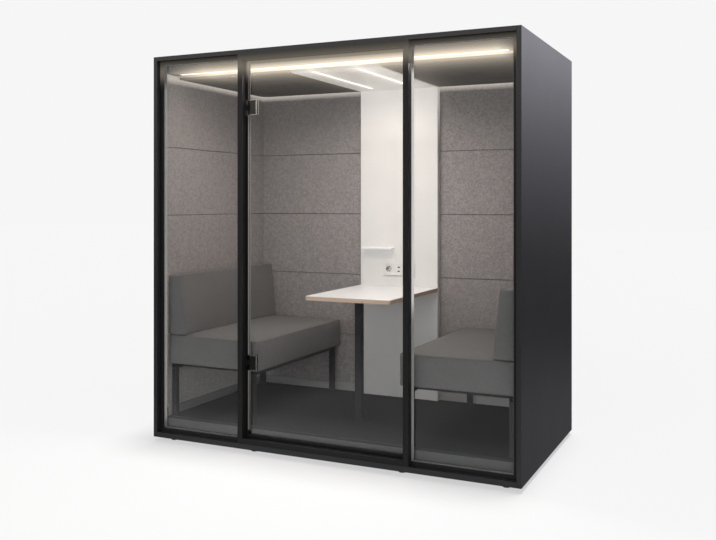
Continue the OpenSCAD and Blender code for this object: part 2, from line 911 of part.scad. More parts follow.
// Round boxes in the column's holes, open to the front
module socket_boxes() {
    depth = column_d - box_back_gap;
    box_d = box_hole_d - 2 * box_gap;
    color([0.35, 0.35, 0.36])
        for (x = socket_xs)
            translate([x, column_y + box_gap, socket_z])
                rotate([-90, 0, 0])
                    difference() {
                        cylinder(d = box_d, h = depth);
                        translate([0, 0, -1]) cylinder(d = box_d - 2 * box_wall, h = depth - box_wall + 1);
                    }
}

// Square insert in the socket frame, with a neck that reaches into the box behind it
module socket_insert() {
    s = insert_s - 2 * clear;
    block([-s / 2, -socket_proud + 1, -s / 2], [s / 2, -socket_proud + 1 + insert_t, s / 2]);
    translate([0, -socket_proud + insert_t, 0]) rotate([-90, 0, 0]) cylinder(d = neck_d, h = neck_len);
}

module power_socket() {
    well_d = 39;
    well_deep = 17.5;
    pin_pitch = 19;
    pin_hole_d = 5;
    pin_hole_end = 16;
    color(white)
        translate([socket_xs[0], column_y, socket_z])
            difference() {
                socket_insert();
                translate([0, -socket_proud, 0]) rotate([-90, 0, 0]) cylinder(d = well_d, h = well_deep);
                for (s = [-1, 1])
                    translate([s * pin_pitch / 2, 0, 0])
                        rotate([-90, 0, 0]) cylinder(d = pin_hole_d, h = pin_hole_end);
            }
}

module usb_socket() {
    port_w = 13;
    port_h = 5.5;
    port_pitch = 26;
    port_deep = 15;
    tongue_w = 11;
    tongue_t = 2;
    tongue_in = 2;
    color(white)
        translate([socket_xs[1], column_y, socket_z])
            difference() {
                socket_insert();
                for (s = [-1, 1])
                    translate([0, 0, s * port_pitch / 2])
                        translate([0, -socket_proud, 0])
                            difference() {
                                block([-port_w / 2, 0, -port_h / 2], [port_w / 2, port_deep, port_h / 2]);
                                block([-tongue_w / 2, tongue_in, 0], [tongue_w / 2, port_deep + 1, tongue_t]);
                            }
            }
}

module button_places() {
    for (s = [-1, 1])
        translate([socket_xs[2] + s * button_pitch / 2, column_y - socket_proud + 1, socket_z]) children();
}

// Plate with two windows for the buttons and a hollow neck behind them
module control_plate() {
    color(white)
        difference() {
            translate([socket_xs[2], column_y, socket_z]) socket_insert();
            button_places() {
                block([-button_w / 2 - clear, -1, -button_h / 2 - clear],
                      [button_w / 2 + clear, insert_t - 2, button_h / 2 + clear]);
                rotate([-90, 0, 0]) cylinder(d = plunger_d + 2 * play, h = plunger_len + insert_t + 4);
            }
        }
}

// A button cap on a round plunger
module push_button(spot) {
    cap_t = insert_t - 2 - button_travel - clear;
    translate([socket_xs[2] + spot * button_pitch / 2, column_y - socket_proud + 1, socket_z]) {
        block([-button_w / 2, -button_proud, -button_h / 2], [button_w / 2, cap_t, button_h / 2]);
        rotate([-90, 0, 0]) cylinder(d = plunger_d, h = cap_t + plunger_len);
    }
}

module light_button() {
    color([0.93, 0.92, 0.90]) push_button(-1);
}

module fan_button() {
    color([0.93, 0.92, 0.90]) push_button(1);
}

// Appliance inlet in the back panel, with its three contacts
module power_inlet() {
    contact = [2, 16, 6];
    contact_pitch = 7;
    contact_shift = 3;
    well_side = 10;
    well_edge = 5;
    well_deep = 22;
    rim_w = inlet_w + 2 * inlet_rim - 2 * clear;
    rim_h = inlet_h + 2 * inlet_rim - 2 * clear;
    color(black)
        translate([0, back_y, inlet_z]) {
            difference() {
                union() {
                    block([-rim_w / 2, -inlet_rim_t, -rim_h / 2], [rim_w / 2, 0, rim_h / 2]);
                    block([-inlet_w / 2 + clear, -inlet_body_d, -inlet_h / 2 + clear],
                          [inlet_w / 2 - clear, -1, inlet_h / 2 - clear]);
                }
                block([-inlet_w / 2 + well_side, -well_deep, -inlet_h / 2 + well_edge],
                      [inlet_w / 2 - well_side, 1, inlet_h / 2 - well_edge]);
            }
            for (i = [-1:1])
                translate([i * contact_pitch, -well_deep, i == 0 ? contact_shift : -contact_shift])
                    translate([-contact.x / 2, 0, -contact.z / 2]) cube(contact);
        }
}

// Ceiling

module vent_slots_at(x, y, len, z0, z1) {
    for (i = [0:vent_slots - 1])
        translate([x + (i - (vent_slots - 1) / 2) * 2 * vent_slot_w, y, 0])
            block([-vent_slot_w / 2, -len / 2, z0], [vent_slot_w / 2, len / 2, z1]);
}

// Dark panels, each with a round outer back corner and a field of slots under its fan
module side_ceiling_panels() {
    r = ceiling_corner_r;
    color(anthracite)
        both_sides() difference() {
            translate([0, 0, ceiling_z])
                linear_extrude(ceiling_t) {
                    translate([column_w / 2 + clear, soffit_back])
                        square([panel_x - column_w / 2 - clear, panel_y - r - soffit_back]);
                    translate([column_w / 2 + clear, panel_y - r - 1])
                        square([panel_x - r - column_w / 2 - clear, r + 1]);
                    translate([panel_x - r, panel_y - r]) circle(r);
                }
            vent_slots_at(fan_x, fan_y, fan_bore_d - 2 * vent_edge, ceiling_z - 1, ceiling_top + 1);
        }
}

// White panel over the table, as wide as the column, with slots for its two lights
module centre_ceiling_panel() {
    color(white)
        difference() {
            block([-column_w / 2, soffit_back, ceiling_z - centre_drop],
                  [column_w / 2, back_in, ceiling_top]);
            for (s = [-1, 1])
                translate([s * bar_light_x, 0, 0])
                    block([-bar_light_w / 2, bar_light_y0, ceiling_z - centre_drop - 1],
                          [bar_light_w / 2, bar_light_y1, ceiling_z - centre_drop + light_channel_h]);
        }
}

module front_soffit() {
    color(anthracite)
        difference() {
            union() {
                block([-wall_x, riser_y, soffit_z], [wall_x, soffit_back, soffit_z + ceiling_t]);
                // its upstand closes the space over the soffit
                block([-wall_x, riser_y, soffit_z], [wall_x, riser_y + ceiling_t, roof_under - joint]);
                block([-in_x + joint, riser_y, felt_top + joint],
                      [in_x - joint, riser_y + ceiling_t, roof_under - joint]);
            }
            block([-front_light_len / 2, front_light_y - front_light_w / 2, soffit_z - 1],
                  [front_light_len / 2, front_light_y + front_light_w / 2, soffit_z + ceiling_t + 1]);
        }
}

// Timber bars that carry the ceiling panels from the roof
module ceiling_battens() {
    color(ply)
        for (y = batten_ys)
            block([-wall_x, y, ceiling_top], [wall_x, y + batten_d, roof_under]);
}

// A channel along Y, open below, whose mouth is at the origin
module light_channel(len, w) {
    difference() {
        block([-w / 2, -len / 2, 0], [w / 2, len / 2, light_channel_h]);
        block([-w / 2 + light_wall, -len / 2 + light_wall, -1],
              [w / 2 - light_wall, len / 2 - light_wall, light_channel_h - light_wall]);
    }
}

module light_diffuser(len, w) {
    inner = w - 2 * light_wall;
    block([-inner / 2, -len / 2 + light_wall, 0], [inner / 2, len / 2 - light_wall, diffuser_t]);
}

module front_light_place() {
    translate([0, front_light_y, soffit_z - diffuser_drop]) rotate([0, 0, 90]) children();
}

module bar_light_places() {
    for (s = [-1, 1])
        translate([s * bar_light_x, (bar_light_y0 + bar_light_y1) / 2, ceiling_z - centre_drop]) children();
}

module light_channels() {
    color(steel) {
        front_light_place() light_channel(front_light_len, front_light_w);
        bar_light_places() light_channel(bar_light_y1 - bar_light_y0, bar_light_w);
    }
}

module light_diffusers() {
    color(light_white) {
        front_light_place() light_diffuser(front_light_len, front_light_w);
        bar_light_places() light_diffuser(bar_light_y1 - bar_light_y0, bar_light_w);
    }
}

// Light strips on the upper edges of the dark ceiling panels
module cove_lights() {
    side_y0 = soffit_back + batten_d + clear;
    back_x1 = panel_x - ceiling_corner_r;
    color(light_white)
        both_sides() {
            block([panel_x - cove_strip, side_y0, ceiling_top],
                  [panel_x, batten_ys[1] - clear, ceiling_top + cove_strip]);
            block([column_w / 2 + cove_gap, panel_y - cove_strip, ceiling_top],
                  [back_x1, panel_y, ceiling_top + cove_strip]);
        }
}

module led_driver() {
    color([0.80, 0.80, 0.80])
        block([-driver_w / 2, fan_y, roof_under - driver_h],
              [driver_w / 2, fan_y + driver_d, roof_under]);
}

// Fans

// Square frame with a round bore, three arms and the shaft that the rotor turns on
module fan_housings() {
    shaft_z = fan_gap + fan_hub_floor + 1;
    color(black)
        for (x = fan_spots)
            translate([x, fan_y, ceiling_top]) {
                difference() {
                    block([-fan_s / 2, -fan_s / 2, 0], [fan_s / 2, fan_s / 2, fan_h]);
                    translate([0, 0, -1]) cylinder(d = fan_bore_d, h = fan_h + 2);
                    for (sx = [-1, 1], sy = [-1, 1])
                        translate([sx * (fan_s / 2 - fan_screw_in), sy * (fan_s / 2 - fan_screw_in), -1])
                            cylinder(d = fan_screw_d, h = fan_h + 2);
                }
                translate([0, 0, fan_h - fan_spider_t]) {
                    cylinder(d = fan_hub_d, h = fan_spider_t);
                    for (a = [90, 210, 330])
                        rotate([0, 0, a])
                            block([0, -fan_arm_w / 2, 0], [fan_bore_d / 2 + 1, fan_arm_w / 2, fan_spider_t]);
                }
                translate([0, 0, shaft_z]) cylinder(d = fan_shaft_d, h = fan_h - fan_spider_t / 2 - shaft_z);
            }
}

// Hub with tilted blades and a blind bore for the shaft
module fan_rotor(x) {
    rotor_h = fan_h - fan_spider_t - 2 * fan_gap;
    blade_r = fan_bore_d / 2 - fan_tip_gap;
    blade_t = 2.5;
    blade_tilt = 38;
    blade_root = 2;
    blade_w = 0.9 * rotor_h;
    color(anthracite)
        translate([x, fan_y, ceiling_top + fan_gap])
            difference() {
                union() {
                    cylinder(d = fan_hub_d, h = rotor_h);
                    for (i = [0:fan_blades - 1])
                        rotate([0, 0, i * 360 / fan_blades])
                            translate([fan_hub_d / 2 - blade_root, 0, rotor_h / 2])
                                rotate([blade_tilt, 0, 0])
                                    block([0, -blade_t / 2, -blade_w / 2],
                                          [blade_r - fan_hub_d / 2 + blade_root, blade_t / 2, blade_w / 2]);
                }
                translate([0, 0, fan_hub_floor]) cylinder(d = fan_shaft_d + 2 * play, h = fan_h);
            }
}

module left_fan_rotor() {
    fan_rotor(fan_spots[0]);
}

module right_fan_rotor() {
    fan_rotor(fan_spots[1]);
}

// Table

// Plan of the table: square at the column, round at its two front corners
module table_plan() {
    r = table_corner_r;
    translate([-column_w / 2, table_front + r]) square([column_w, table_len - r]);
    translate([-column_w / 2 + r, table_front]) square([column_w - 2 * r, r + 1]);
    for (s = [-1, 1]) translate([s * (column_w / 2 - r), table_front + r]) circle(r);
}

module table_board() {
    color(ply) translate([0, 0, board_z]) linear_extrude(board_t) table_plan();
}

module table_laminate() {
    color(white) translate([0, 0, board_z + board_t]) linear_extrude(laminate_t) table_plan();
}

// Square tube that stands on the carpet, with a screw plate under the board
module table_leg() {
    s = leg_plate_s / 2;
    hole_in = 15;
    hole_d = 6;
    color(black) {
        tube_z(0, leg_y, table_leg_s, floor_z, board_z - leg_plate_t);
        difference() {
            block([-s, leg_y - s, board_z - leg_plate_t], [s, leg_y + s, board_z]);
            for (sx = [-1, 1], sy = [-1, 1])
                translate([sx * (s - hole_in), leg_y + sy * (s - hole_in), board_z - leg_plate_t - 1])
                    cylinder(d = hole_d, h = leg_plate_t + 2);
        }
    }
}

// Steel angle that carries the table at the column
module table_bracket() {
    half = column_w / 2 - bracket_side_in;
    color(black)
        difference() {
            block([-half, column_y - bracket_leg, board_z - bracket_leg], [half, column_y, board_z]);
            block([-half - 1, column_y - bracket_leg - 1, board_z - bracket_leg - 1],
                  [half + 1, column_y - bracket_t, board_z - bracket_t]);
        }
}

// Benches

// Each bench has four legs and four rails of square tube
module bench_frames() {
    h = bench_tube / 2;
    color(black) both_sides() {
        for (x = [frame_x0 + h, frame_x1 - h], y = [frame_y0 + h, frame_y1 - h])
            tube_z(x, y, bench_tube, floor_z + glide_h, rail_z - joint);
        for (x = [frame_x0 + h, frame_x1 - h])
            tube_y(x, rail_z + h, bench_tube, frame_y0, frame_y1);
        for (y = [frame_y0 + cross_in + h, frame_y1 - h])
            tube_x(y, rail_z + h, bench_tube, frame_x0 + bench_tube + joint, frame_x1 - bench_tube - joint);
    }
}

// A flange under each leg and a plug inside its tube
module bench_glides() {
    h = bench_tube / 2;
    p = h - tube_wall - joint;
    plug_h = 15;
    color(black)
        both_sides()
            for (x = [frame_x0 + h, frame_x1 - h], y = [frame_y0 + h, frame_y1 - h])
                translate([x, y, floor_z]) {
                    block([-h, -h, 0], [h, h, glide_h]);
                    block([-p, -p, 0], [p, p, glide_h + plug_h]);
                }
}

// Boards in the feet of the right seat and back cushions, larger on all sides by grow
module seat_board(grow = 0) {
    block([seat_x0 + board_in - grow, bench_y0 + board_in - grow, seat_z - grow],
          [seat_x1 - board_in + grow, bench_y1 - board_in + grow, seat_z + cushion_board_t + grow]);
}

module back_board(grow = 0) {
    block([wall_x - cushion_board_t - grow, bench_y0 + board_in - grow, back_z + board_in - grow],
          [wall_x + grow, bench_y1 - board_in + grow, back_z + back_h - board_in + grow]);
}

module cushion_boards() {
    color([0.20, 0.20, 0.20])
        both_sides() {
            seat_board();
            back_board();
        }
}

// A rounded rectangle, w by d, as points: each side bows in by draw between its corners
function cushion_outline(w, d, r, draw) = [
    for (side = [0:3])
        let (
            long = side % 2 == 0 ? w / 2 : d / 2,
            out = side % 2 == 0 ? d / 2 : w / 2,
            straight = [for (i = [0:side_steps - 1])
                let (s = 2 * i / side_steps - 1) [s * (long - r), draw * (1 - s * s) - out]],
            arc = [for (i = [0:arc_steps - 1])
                let (a = 90 * i / arc_steps - 90) [long - r + r * cos(a), r - out + r * sin(a)]]
        )
        for (p = concat(straight, arc))
            [p.x * cos(90 * side) - p.y * sin(90 * side), p.x * sin(90 * side) + p.y * cos(90 * side)]
];

// Inset and height of each ring of a cushion, from its flat foot over its edges to its crown
function cushion_rings(w, d, t, crown) =
    let (
        e = cushion_edge,
        side = t - crown,
        span = min(w, d) / 2 - e,
        foot = [for (i = [0:edge_steps]) let (a = 90 * i / edge_steps) [e * (1 - sin(a)), e * (1 - cos(a))]],
        top = [for (i = [edge_steps:-1:0]) let (a = 90 * i / edge_steps)
            [e * (1 - sin(a)), side - e * (1 - cos(a))]],
        dome = [for (i = [1:crown_steps]) let (u = 0.85 * i / crown_steps)
            [e + span * u, side + crown * (1 - (1 - u) * (1 - u))]]
    )
    concat(foot, top, dome);

// A cushion, w by d on its flat foot, t thick; taper thins it towards +Y
module cushion(w, d, t, crown, taper) {
    rings = cushion_rings(w, d, t, crown);
    n = 4 * (side_steps + arc_steps);
    last = len(rings) - 1;
    walls = [for (ring = rings)
        let (inset = ring[0], corner = max(cushion_corner - inset, 3))
        for (p = cushion_outline(w - 2 * inset, d - 2 * inset, corner, cushion_draw))
            [p.x, p.y, ring[1] * (1 - taper * (p.y / d + 0.5))]];
    points = concat(walls, [[0, 0, 0], [0, 0, t * (1 - taper / 2)]]);
    foot_mid = len(walls);
    top_mid = foot_mid + 1;
    faces = [
        for (k = [0:last - 1], i = [0:n - 1])
            let (a = k * n + i, b = k * n + (i + 1) % n)
            each [[a, a + n, b], [b, a + n, b + n]],
        for (i = [0:n - 1]) [foot_mid, i, (i + 1) % n],
        for (i = [0:n - 1]) [top_mid, last * n + (i + 1) % n, last * n + i]
    ];
    polyhedron(points, faces, convexity = 4);
}

module right_seat_cushion() {
    color(seat_grey)
        difference() {
            translate([(seat_x0 + seat_x1) / 2, (bench_y0 + bench_y1) / 2, seat_z + foot_gap])
                cushion(seat_x1 - seat_x0, bench_len, seat_t - foot_gap, cushion_crown, 0);
            seat_board(foot_gap);
        }
}

module left_seat_cushion() {
    mirror([1, 0, 0]) right_seat_cushion();
}

// The cushion's flat foot is turned to the wall, and it thins towards its upper edge
module right_back_cushion() {
    color(seat_grey)
        difference() {
            translate([wall_x - foot_gap, (bench_y0 + bench_y1) / 2, back_z + back_h / 2])
                rotate([90, 0, -90])
                    cushion(bench_len, back_h, back_foot_t, cushion_crown, 1 - back_top_t / back_foot_t);
            back_board(foot_gap);
        }
}

module left_back_cushion() {
    mirror([1, 0, 0]) right_back_cushion();
}

left_side_panel();
right_side_panel();
back_panel();
roof_panel();
base_panel();
corner_angles();
levelling_feet();
floor_joists();
floor_deck();
carpet();
floor_riser();
left_post();
right_post();
door_header();
door_threshold();
glazing_profiles();
left_glass();
right_glass();
glazing_gaskets();
door_glass();
door_edge_profile();
door_stop_seal();
hinge_clamps();
hinge_brackets();
wall_cores();
left_wall_felt();
right_wall_felt();
skirting();
column_panel();
column_shelf();
socket_frame();
socket_boxes();
power_socket();
usb_socket();
control_plate();
light_button();
fan_button();
power_inlet();
side_ceiling_panels();
centre_ceiling_panel();
front_soffit();
ceiling_battens();
light_channels();
light_diffusers();
cove_lights();
led_driver();
fan_housings();
left_fan_rotor();
right_fan_rotor();
table_board();
table_laminate();
table_leg();
table_bracket();
bench_frames();
bench_glides();
cushion_boards();
left_seat_cushion();
right_seat_cushion();
left_back_cushion();
right_back_cushion();
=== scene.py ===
import json
from math import cos, pi, radians, sin

import bmesh
import bpy
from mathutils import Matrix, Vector


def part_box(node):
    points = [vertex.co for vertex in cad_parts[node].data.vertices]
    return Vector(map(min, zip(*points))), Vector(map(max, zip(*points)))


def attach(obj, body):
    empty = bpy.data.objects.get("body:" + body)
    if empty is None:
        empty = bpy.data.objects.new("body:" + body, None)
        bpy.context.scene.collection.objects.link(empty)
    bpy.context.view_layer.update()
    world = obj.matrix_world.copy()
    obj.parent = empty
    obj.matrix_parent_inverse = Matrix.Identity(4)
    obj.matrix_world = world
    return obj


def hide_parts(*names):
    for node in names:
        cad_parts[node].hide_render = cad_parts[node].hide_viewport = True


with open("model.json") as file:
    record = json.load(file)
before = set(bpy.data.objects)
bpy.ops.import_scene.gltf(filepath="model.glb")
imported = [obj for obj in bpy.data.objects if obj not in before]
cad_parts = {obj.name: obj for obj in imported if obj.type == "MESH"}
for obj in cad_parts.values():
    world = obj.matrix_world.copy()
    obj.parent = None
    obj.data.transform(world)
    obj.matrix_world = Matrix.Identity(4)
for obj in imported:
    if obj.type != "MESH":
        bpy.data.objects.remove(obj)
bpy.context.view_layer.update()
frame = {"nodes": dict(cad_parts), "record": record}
nodes = frame["nodes"]
scene = bpy.context.scene
scene.view_settings.view_transform = "Standard"
print("frame loaded with", len(nodes), "nodes")

# Camera at the photograph's viewing angle
cameraSet = {"place": (2.158, -4.6971, 1.4054), "turn": 25.186, "sensor": 36, "lens": 43.467,
             "shiftY": -0.0949}
camera = bpy.data.objects.new("podCamera", bpy.data.cameras.new("podCamera"))
camera.location = cameraSet["place"]
camera.rotation_euler = (radians(90), 0, radians(cameraSet["turn"]))
camera.data.sensor_width = cameraSet["sensor"]
camera.data.lens = cameraSet["lens"]
camera.data.shift_y = cameraSet["shiftY"]
scene.collection.objects.link(camera)
scene.camera = camera
print("camera set")


class Wire:
    # a socket in a node tree; arithmetic on it adds Math nodes
    def __init__(self, tree, socket):
        self.tree = tree
        self.socket = socket

    def node(self, kind, settings=None, inputs=None, out=0):
        made = self.tree.nodes.new(kind)
        for name, value in (settings or {}).items():
            if name == "stops":
                fillRamp(made.color_ramp, value)
            else:
                setattr(made, name, value)
        for key, value in (inputs or {}).items():
            target = made.inputs[key]
            if isinstance(value, Wire):
                self.tree.links.new(value.socket, target)
            elif target.type == "RGBA" and len(value) == 3:
                target.default_value = (*value, 1.0)
            else:
                target.default_value = value
        return Wire(self.tree, made.outputs[out] if made.outputs else None)

    def maths(self, operation, first, second=0.0):
        return self.node("ShaderNodeMath", {"operation": operation}, {0: first, 1: second})

    def __abs__(self):
        return self.maths("ABSOLUTE", self)

    def __add__(self, other):
        return self.maths("ADD", self, other)

    def __sub__(self, other):
        return self.maths("SUBTRACT", self, other)

    def __rsub__(self, other):
        return self.maths("SUBTRACT", other, self)

    def __mul__(self, other):
        return self.maths("MULTIPLY", self, other)

    def __truediv__(self, other):
        return self.maths("DIVIDE", self, other)

    def __pow__(self, other):
        return self.maths("POWER", self, other)

    def __rpow__(self, other):
        return self.maths("POWER", other, self)


black = (0.0, 0.0, 0.0)
naturalBase = 2.718
noiseRange = (0.3, 0.7)  # where most values of a noise texture lie


def fillRamp(ramp, stops):
    while len(ramp.elements) < len(stops):
        ramp.elements.new(0.5)
    for element, (place, color) in zip(ramp.elements, stops):
        element.position = place
        element.color = (*color, 1.0)


def toneRamp(value, stops, tint):
    colors = [(place, tuple(level * part for part in tint)) for place, level in stops]
    return value.node("ShaderNodeValToRGB", {"stops": colors}, {0: value})


def mixColor(amount, first, second):
    return amount.node("ShaderNodeMix", {"data_type": "RGBA"}, {0: amount, 6: first, 7: second}, out=2)


def tinted(level, color):
    return mixColor(level, black, color)


def emitted(color, strength=1.0):
    return {"Emission Color": color, "Emission Strength": strength}


def spread(value, low, high, start=0.0, end=1.0):
    return value.node("ShaderNodeMapRange", {"clamp": True}, {0: value, 1: low, 2: high, 3: start, 4: end})


def evened(value, start=0.0, end=1.0):
    return spread(value, *noiseRange, start, end)


def blend(wires, shares):
    first, *others = [wire * share for wire, share in zip(wires, shares)]
    return sum(others, first)


def fading(away, reach, amount):
    # an amount that falls off with the distance
    return naturalBase ** (away / reach * -1.0) * amount


def fadingSoon(away, reach, amount):
    # the same, level at first and then quicker
    share = away / reach
    return naturalBase ** (share * share * -1.0) * amount


def noise(point, scale, detail=3.0, rough=0.55):
    inputs = {"Vector": point, "Scale": scale, "Detail": detail, "Roughness": rough}
    return point.node("ShaderNodeTexNoise", {}, inputs)


def cells(point, scale):
    return point.node("ShaderNodeTexVoronoi", {"feature": "F1"}, {"Vector": point, "Scale": scale})


def stretched(point, scale):
    return point.node("ShaderNodeMapping", {}, {"Vector": point, "Scale": scale})


def axis(point, name):
    return point.node("ShaderNodeSeparateXYZ", {}, {"Vector": point}, out=name)


def distance(first, second):
    return first.node("ShaderNodeVectorMath", {"operation": "DISTANCE"}, {0: first, 1: second}, out="Value")


def startFinish(name):
    material = bpy.data.materials.new(name)
    material.use_nodes = True
    material.node_tree.nodes.clear()
    source = material.node_tree.nodes.new("ShaderNodeTexCoord")
    return material, Wire(material.node_tree, source.outputs["Object"])


def closeFinish(point, color, rough, height, bump, fixed=None):
    strength, depth = bump
    relief = point.node("ShaderNodeBump", {}, {"Strength": strength, "Distance": depth, "Height": height})
    inputs = {"Base Color": color, "Roughness": rough, "Normal": relief, **(fixed or {})}
    shader = point.node("ShaderNodeBsdfPrincipled", {}, inputs, out="BSDF")
    point.node("ShaderNodeOutputMaterial", {}, {"Surface": shader})


def addPiece(name, bm):
    mesh = bpy.data.meshes.new(name)
    bm.to_mesh(mesh)
    bm.free()
    piece = bpy.data.objects.new(name, mesh)
    scene.collection.objects.link(piece)
    return piece


# Studio: pale backdrop and floor, soft light from above, and a sky and floor that only mirror rays see
studioSet = {
    "pale": (0.922, 0.922, 0.922),
    "dome": 0.12,
    "frontFill": 2.25,
    "fillFrom": (0.25, -0.97, 0.0),
    "fillHeight": (0.1, 0.7, 1.0, 0.0),
    "sunStrength": 2.42,
    "sunAngle": 11.0,
    "sunTilt": (-4.0, 2.0),
    "shadowHold": 0.60,
    "mirrorSky": [(0.0, 0.13), (0.09, 0.42), (0.15, 0.95), (0.19, 1.6), (0.4, 1.9)],
    "skyTint": (1.0, 1.0, 1.10),
    "frontSky": [(0.0, 0.075), (0.09, 0.25), (0.15, 0.74), (0.178, 1.45), (0.4, 1.7)],
    "frontTint": (1.0, 0.925, 0.87),
    "frontSide": (-0.75, -0.2),
    "floorSize": 80.0,
    "farFloor": (0.04, 0.04, 0.04),
    "farAway": (2.0, 5.0),
    "sideFloor": (0.15, 0.15, 0.15),
    "nearFloor": [(0.10, 0.36), (0.22, 0.36), (0.30, 0.60), (0.52, 0.61), (0.62, 0.52)],
    "nearTint": (1.0, 1.0, 1.0),
    "nearX": (-2.0, 2.0),
    "nearY": (-0.70, -0.55, 1.0, 0.0),
    "closeY": (-1.35, -0.95, 0.62, 1.0),
}


def pathRay(tree, name):
    return Wire(tree, tree.nodes.new("ShaderNodeLightPath").outputs[name])


def buildWorld():
    world = bpy.data.worlds.new("studio")
    scene.world = world
    world.use_nodes = True
    tree = world.node_tree
    tree.nodes.clear()
    direction = Wire(tree, tree.nodes.new("ShaderNodeTexCoord").outputs["Generated"])
    up = axis(direction, "Z")
    sky = toneRamp(up, studioSet["mirrorSky"], studioSet["skyTint"])
    ahead = toneRamp(up, studioSet["frontSky"], studioSet["frontTint"])
    sky = mixColor(spread(axis(direction, "Y"), *studioSet["frontSide"]), ahead, sky)
    front = direction.node("ShaderNodeVectorMath", {"operation": "DOT_PRODUCT"},
                           {0: direction, 1: studioSet["fillFrom"]}, out="Value")
    front = front.maths("MAXIMUM", front, 0.0) * spread(up, *studioSet["fillHeight"])
    dome = front * studioSet["frontFill"] + studioSet["dome"]
    dome = direction.node("ShaderNodeCombineXYZ", {}, {0: dome, 1: dome, 2: dome})
    seen = direction.maths("MAXIMUM", pathRay(tree, "Is Camera Ray"), pathRay(tree, "Is Transmission Ray"))
    color = mixColor(pathRay(tree, "Is Glossy Ray"), dome, sky)
    color = mixColor(seen, color, studioSet["pale"])
    back = direction.node("ShaderNodeBackground", {}, {"Color": color, "Strength": 1.0})
    direction.node("ShaderNodeOutputWorld", {}, {"Surface": back})
    world.cycles.sampling_method = "NONE"  # glossy rays then read their own sky


def buildFloor():
    bm = bmesh.new()
    bmesh.ops.create_grid(bm, x_segments=2, y_segments=2, size=studioSet["floorSize"] / 2)
    floor = addPiece("studioFloor", bm)
    material, point = startFinish("studioFloor")
    tree = point.tree
    across = spread(axis(point, "X"), *studioSet["nearX"])
    ahead = axis(point, "Y")
    away = point.node("ShaderNodeVectorMath", {"operation": "LENGTH"}, {0: point}, out="Value")
    far = spread(away, *studioSet["farAway"])
    besidePod = mixColor(far, studioSet["sideFloor"], studioSet["farFloor"])
    beforePod = toneRamp(across, studioSet["nearFloor"], studioSet["nearTint"])
    beforePod = tinted(spread(ahead, *studioSet["closeY"]), beforePod)
    beforePod = mixColor(far, beforePod, studioSet["farFloor"])
    mirrorColor = mixColor(spread(ahead, *studioSet["nearY"]), besidePod, beforePod)
    plain = point.node("ShaderNodeBsdfDiffuse", {}, {"Color": studioSet["pale"]})
    paper = point.node("ShaderNodeEmission", {}, {"Color": studioSet["pale"]})
    glossy = point.node("ShaderNodeEmission", {}, {"Color": mirrorColor})
    held = pathRay(tree, "Is Camera Ray") * studioSet["shadowHold"]
    shown = point.node("ShaderNodeMixShader", {}, {0: held, 1: plain, 2: paper})
    shown = point.node("ShaderNodeMixShader", {}, {0: pathRay(tree, "Is Glossy Ray"), 1: shown, 2: glossy})
    point.node("ShaderNodeOutputMaterial", {}, {"Surface": shown})
    material.cycles.emission_sampling = "NONE"
    floor.data.materials.append(material)


def hangSun():
    sun = bpy.data.objects.new("topLight", bpy.data.lights.new("topLight", "SUN"))
    sun.data.energy = studioSet["sunStrength"]
    sun.data.angle = radians(studioSet["sunAngle"])
    tiltX, tiltY = studioSet["sunTilt"]
    sun.rotation_euler = (radians(tiltX), radians(tiltY), 0)
    scene.collection.objects.link(sun)


buildWorld()
buildFloor()
hangSun()
print("studio built")

# Finishes, one for each material slot of the record and some for single nodes.
# In the settings a noise is (scale, detail, roughness), a bump is (strength, depth in metres), and a range
# with four numbers is (from, to, value at from, value at to).


lacquerSet = {"deep": (0.0105, 0.0106, 0.0128), "light": (0.0145, 0.0147, 0.0175), "rough": (0.35, 0.375),
              "cloud": (1.4, 4.0), "sheen": (2.1, 3.0), "peel": (380.0, 2.0), "bump": (0.05, 0.0005)}


def lacquerFinish():
    material, point = startFinish("blackLacquer")
    color = mixColor(evened(noise(point, *lacquerSet["cloud"])), lacquerSet["deep"], lacquerSet["light"])
    rough = evened(noise(point, *lacquerSet["sheen"]), *lacquerSet["rough"])
    closeFinish(point, color, rough, noise(point, *lacquerSet["peel"]), lacquerSet["bump"])
    return material


spillSet = {"level": 2.168, "reach": 0.050, "amount": 0.14, "warm": (1.0, 0.87, 0.68)}


def frameSpill(point, amount):
    # the front strip's light spills on the frame's upper end
    off = axis(point, "Z") - spillSet["level"]
    return tinted(fadingSoon(off, spillSet["reach"], amount), spillSet["warm"])


powderSets = {
    "frame_profile": {"deep": (0.0060, 0.0060, 0.0065), "light": (0.0090, 0.0090, 0.0096), "grain": 1500.0,
                      "shine": 0.24},
    "black_steel": {"deep": (0.0100, 0.0100, 0.0110), "light": (0.020, 0.020, 0.021), "grain": 1100.0,
                    "shine": 0.5},
    "white_steel": {"deep": (0.86, 0.87, 0.88), "light": (0.90, 0.91, 0.92), "grain": 1300.0, "shine": 0.5},
}
powderCoat = {"cloud": (60.0, 3.0), "patch": (25.0, 3.0), "rough": (0.40, 0.52), "bump": (0.12, 0.0004)}


def powderLook(point, chosen):
    color = mixColor(evened(noise(point, *powderCoat["cloud"])), chosen["deep"], chosen["light"])
    rough = evened(noise(point, *powderCoat["patch"]), *powderCoat["rough"])
    return color, rough, cells(point, chosen["grain"])


def powderFinish(slotName):
    chosen = powderSets[slotName]
    material, point = startFinish(slotName + "Coat")
    color, rough, grain = powderLook(point, chosen)
    fixed = {"Specular IOR Level": chosen["shine"]}
    if slotName == "frame_profile":
        fixed.update(emitted(frameSpill(point, spillSet["amount"])))
    closeFinish(point, color, rough, grain, powderCoat["bump"], fixed)
    return material


stripeSet = {"sides": (-0.4714, -0.4615), "soft": 0.0008, "tone": (0.22, 0.21, 0.20), "foot": (0.12, 0.13),
          "fade": (1.75, 2.0, 1.0, 0.25), "rise": (0.3, 1.2, 0.0, 0.060), "top": 0.30,
          "warm": (1.0, 0.95, 0.90)}


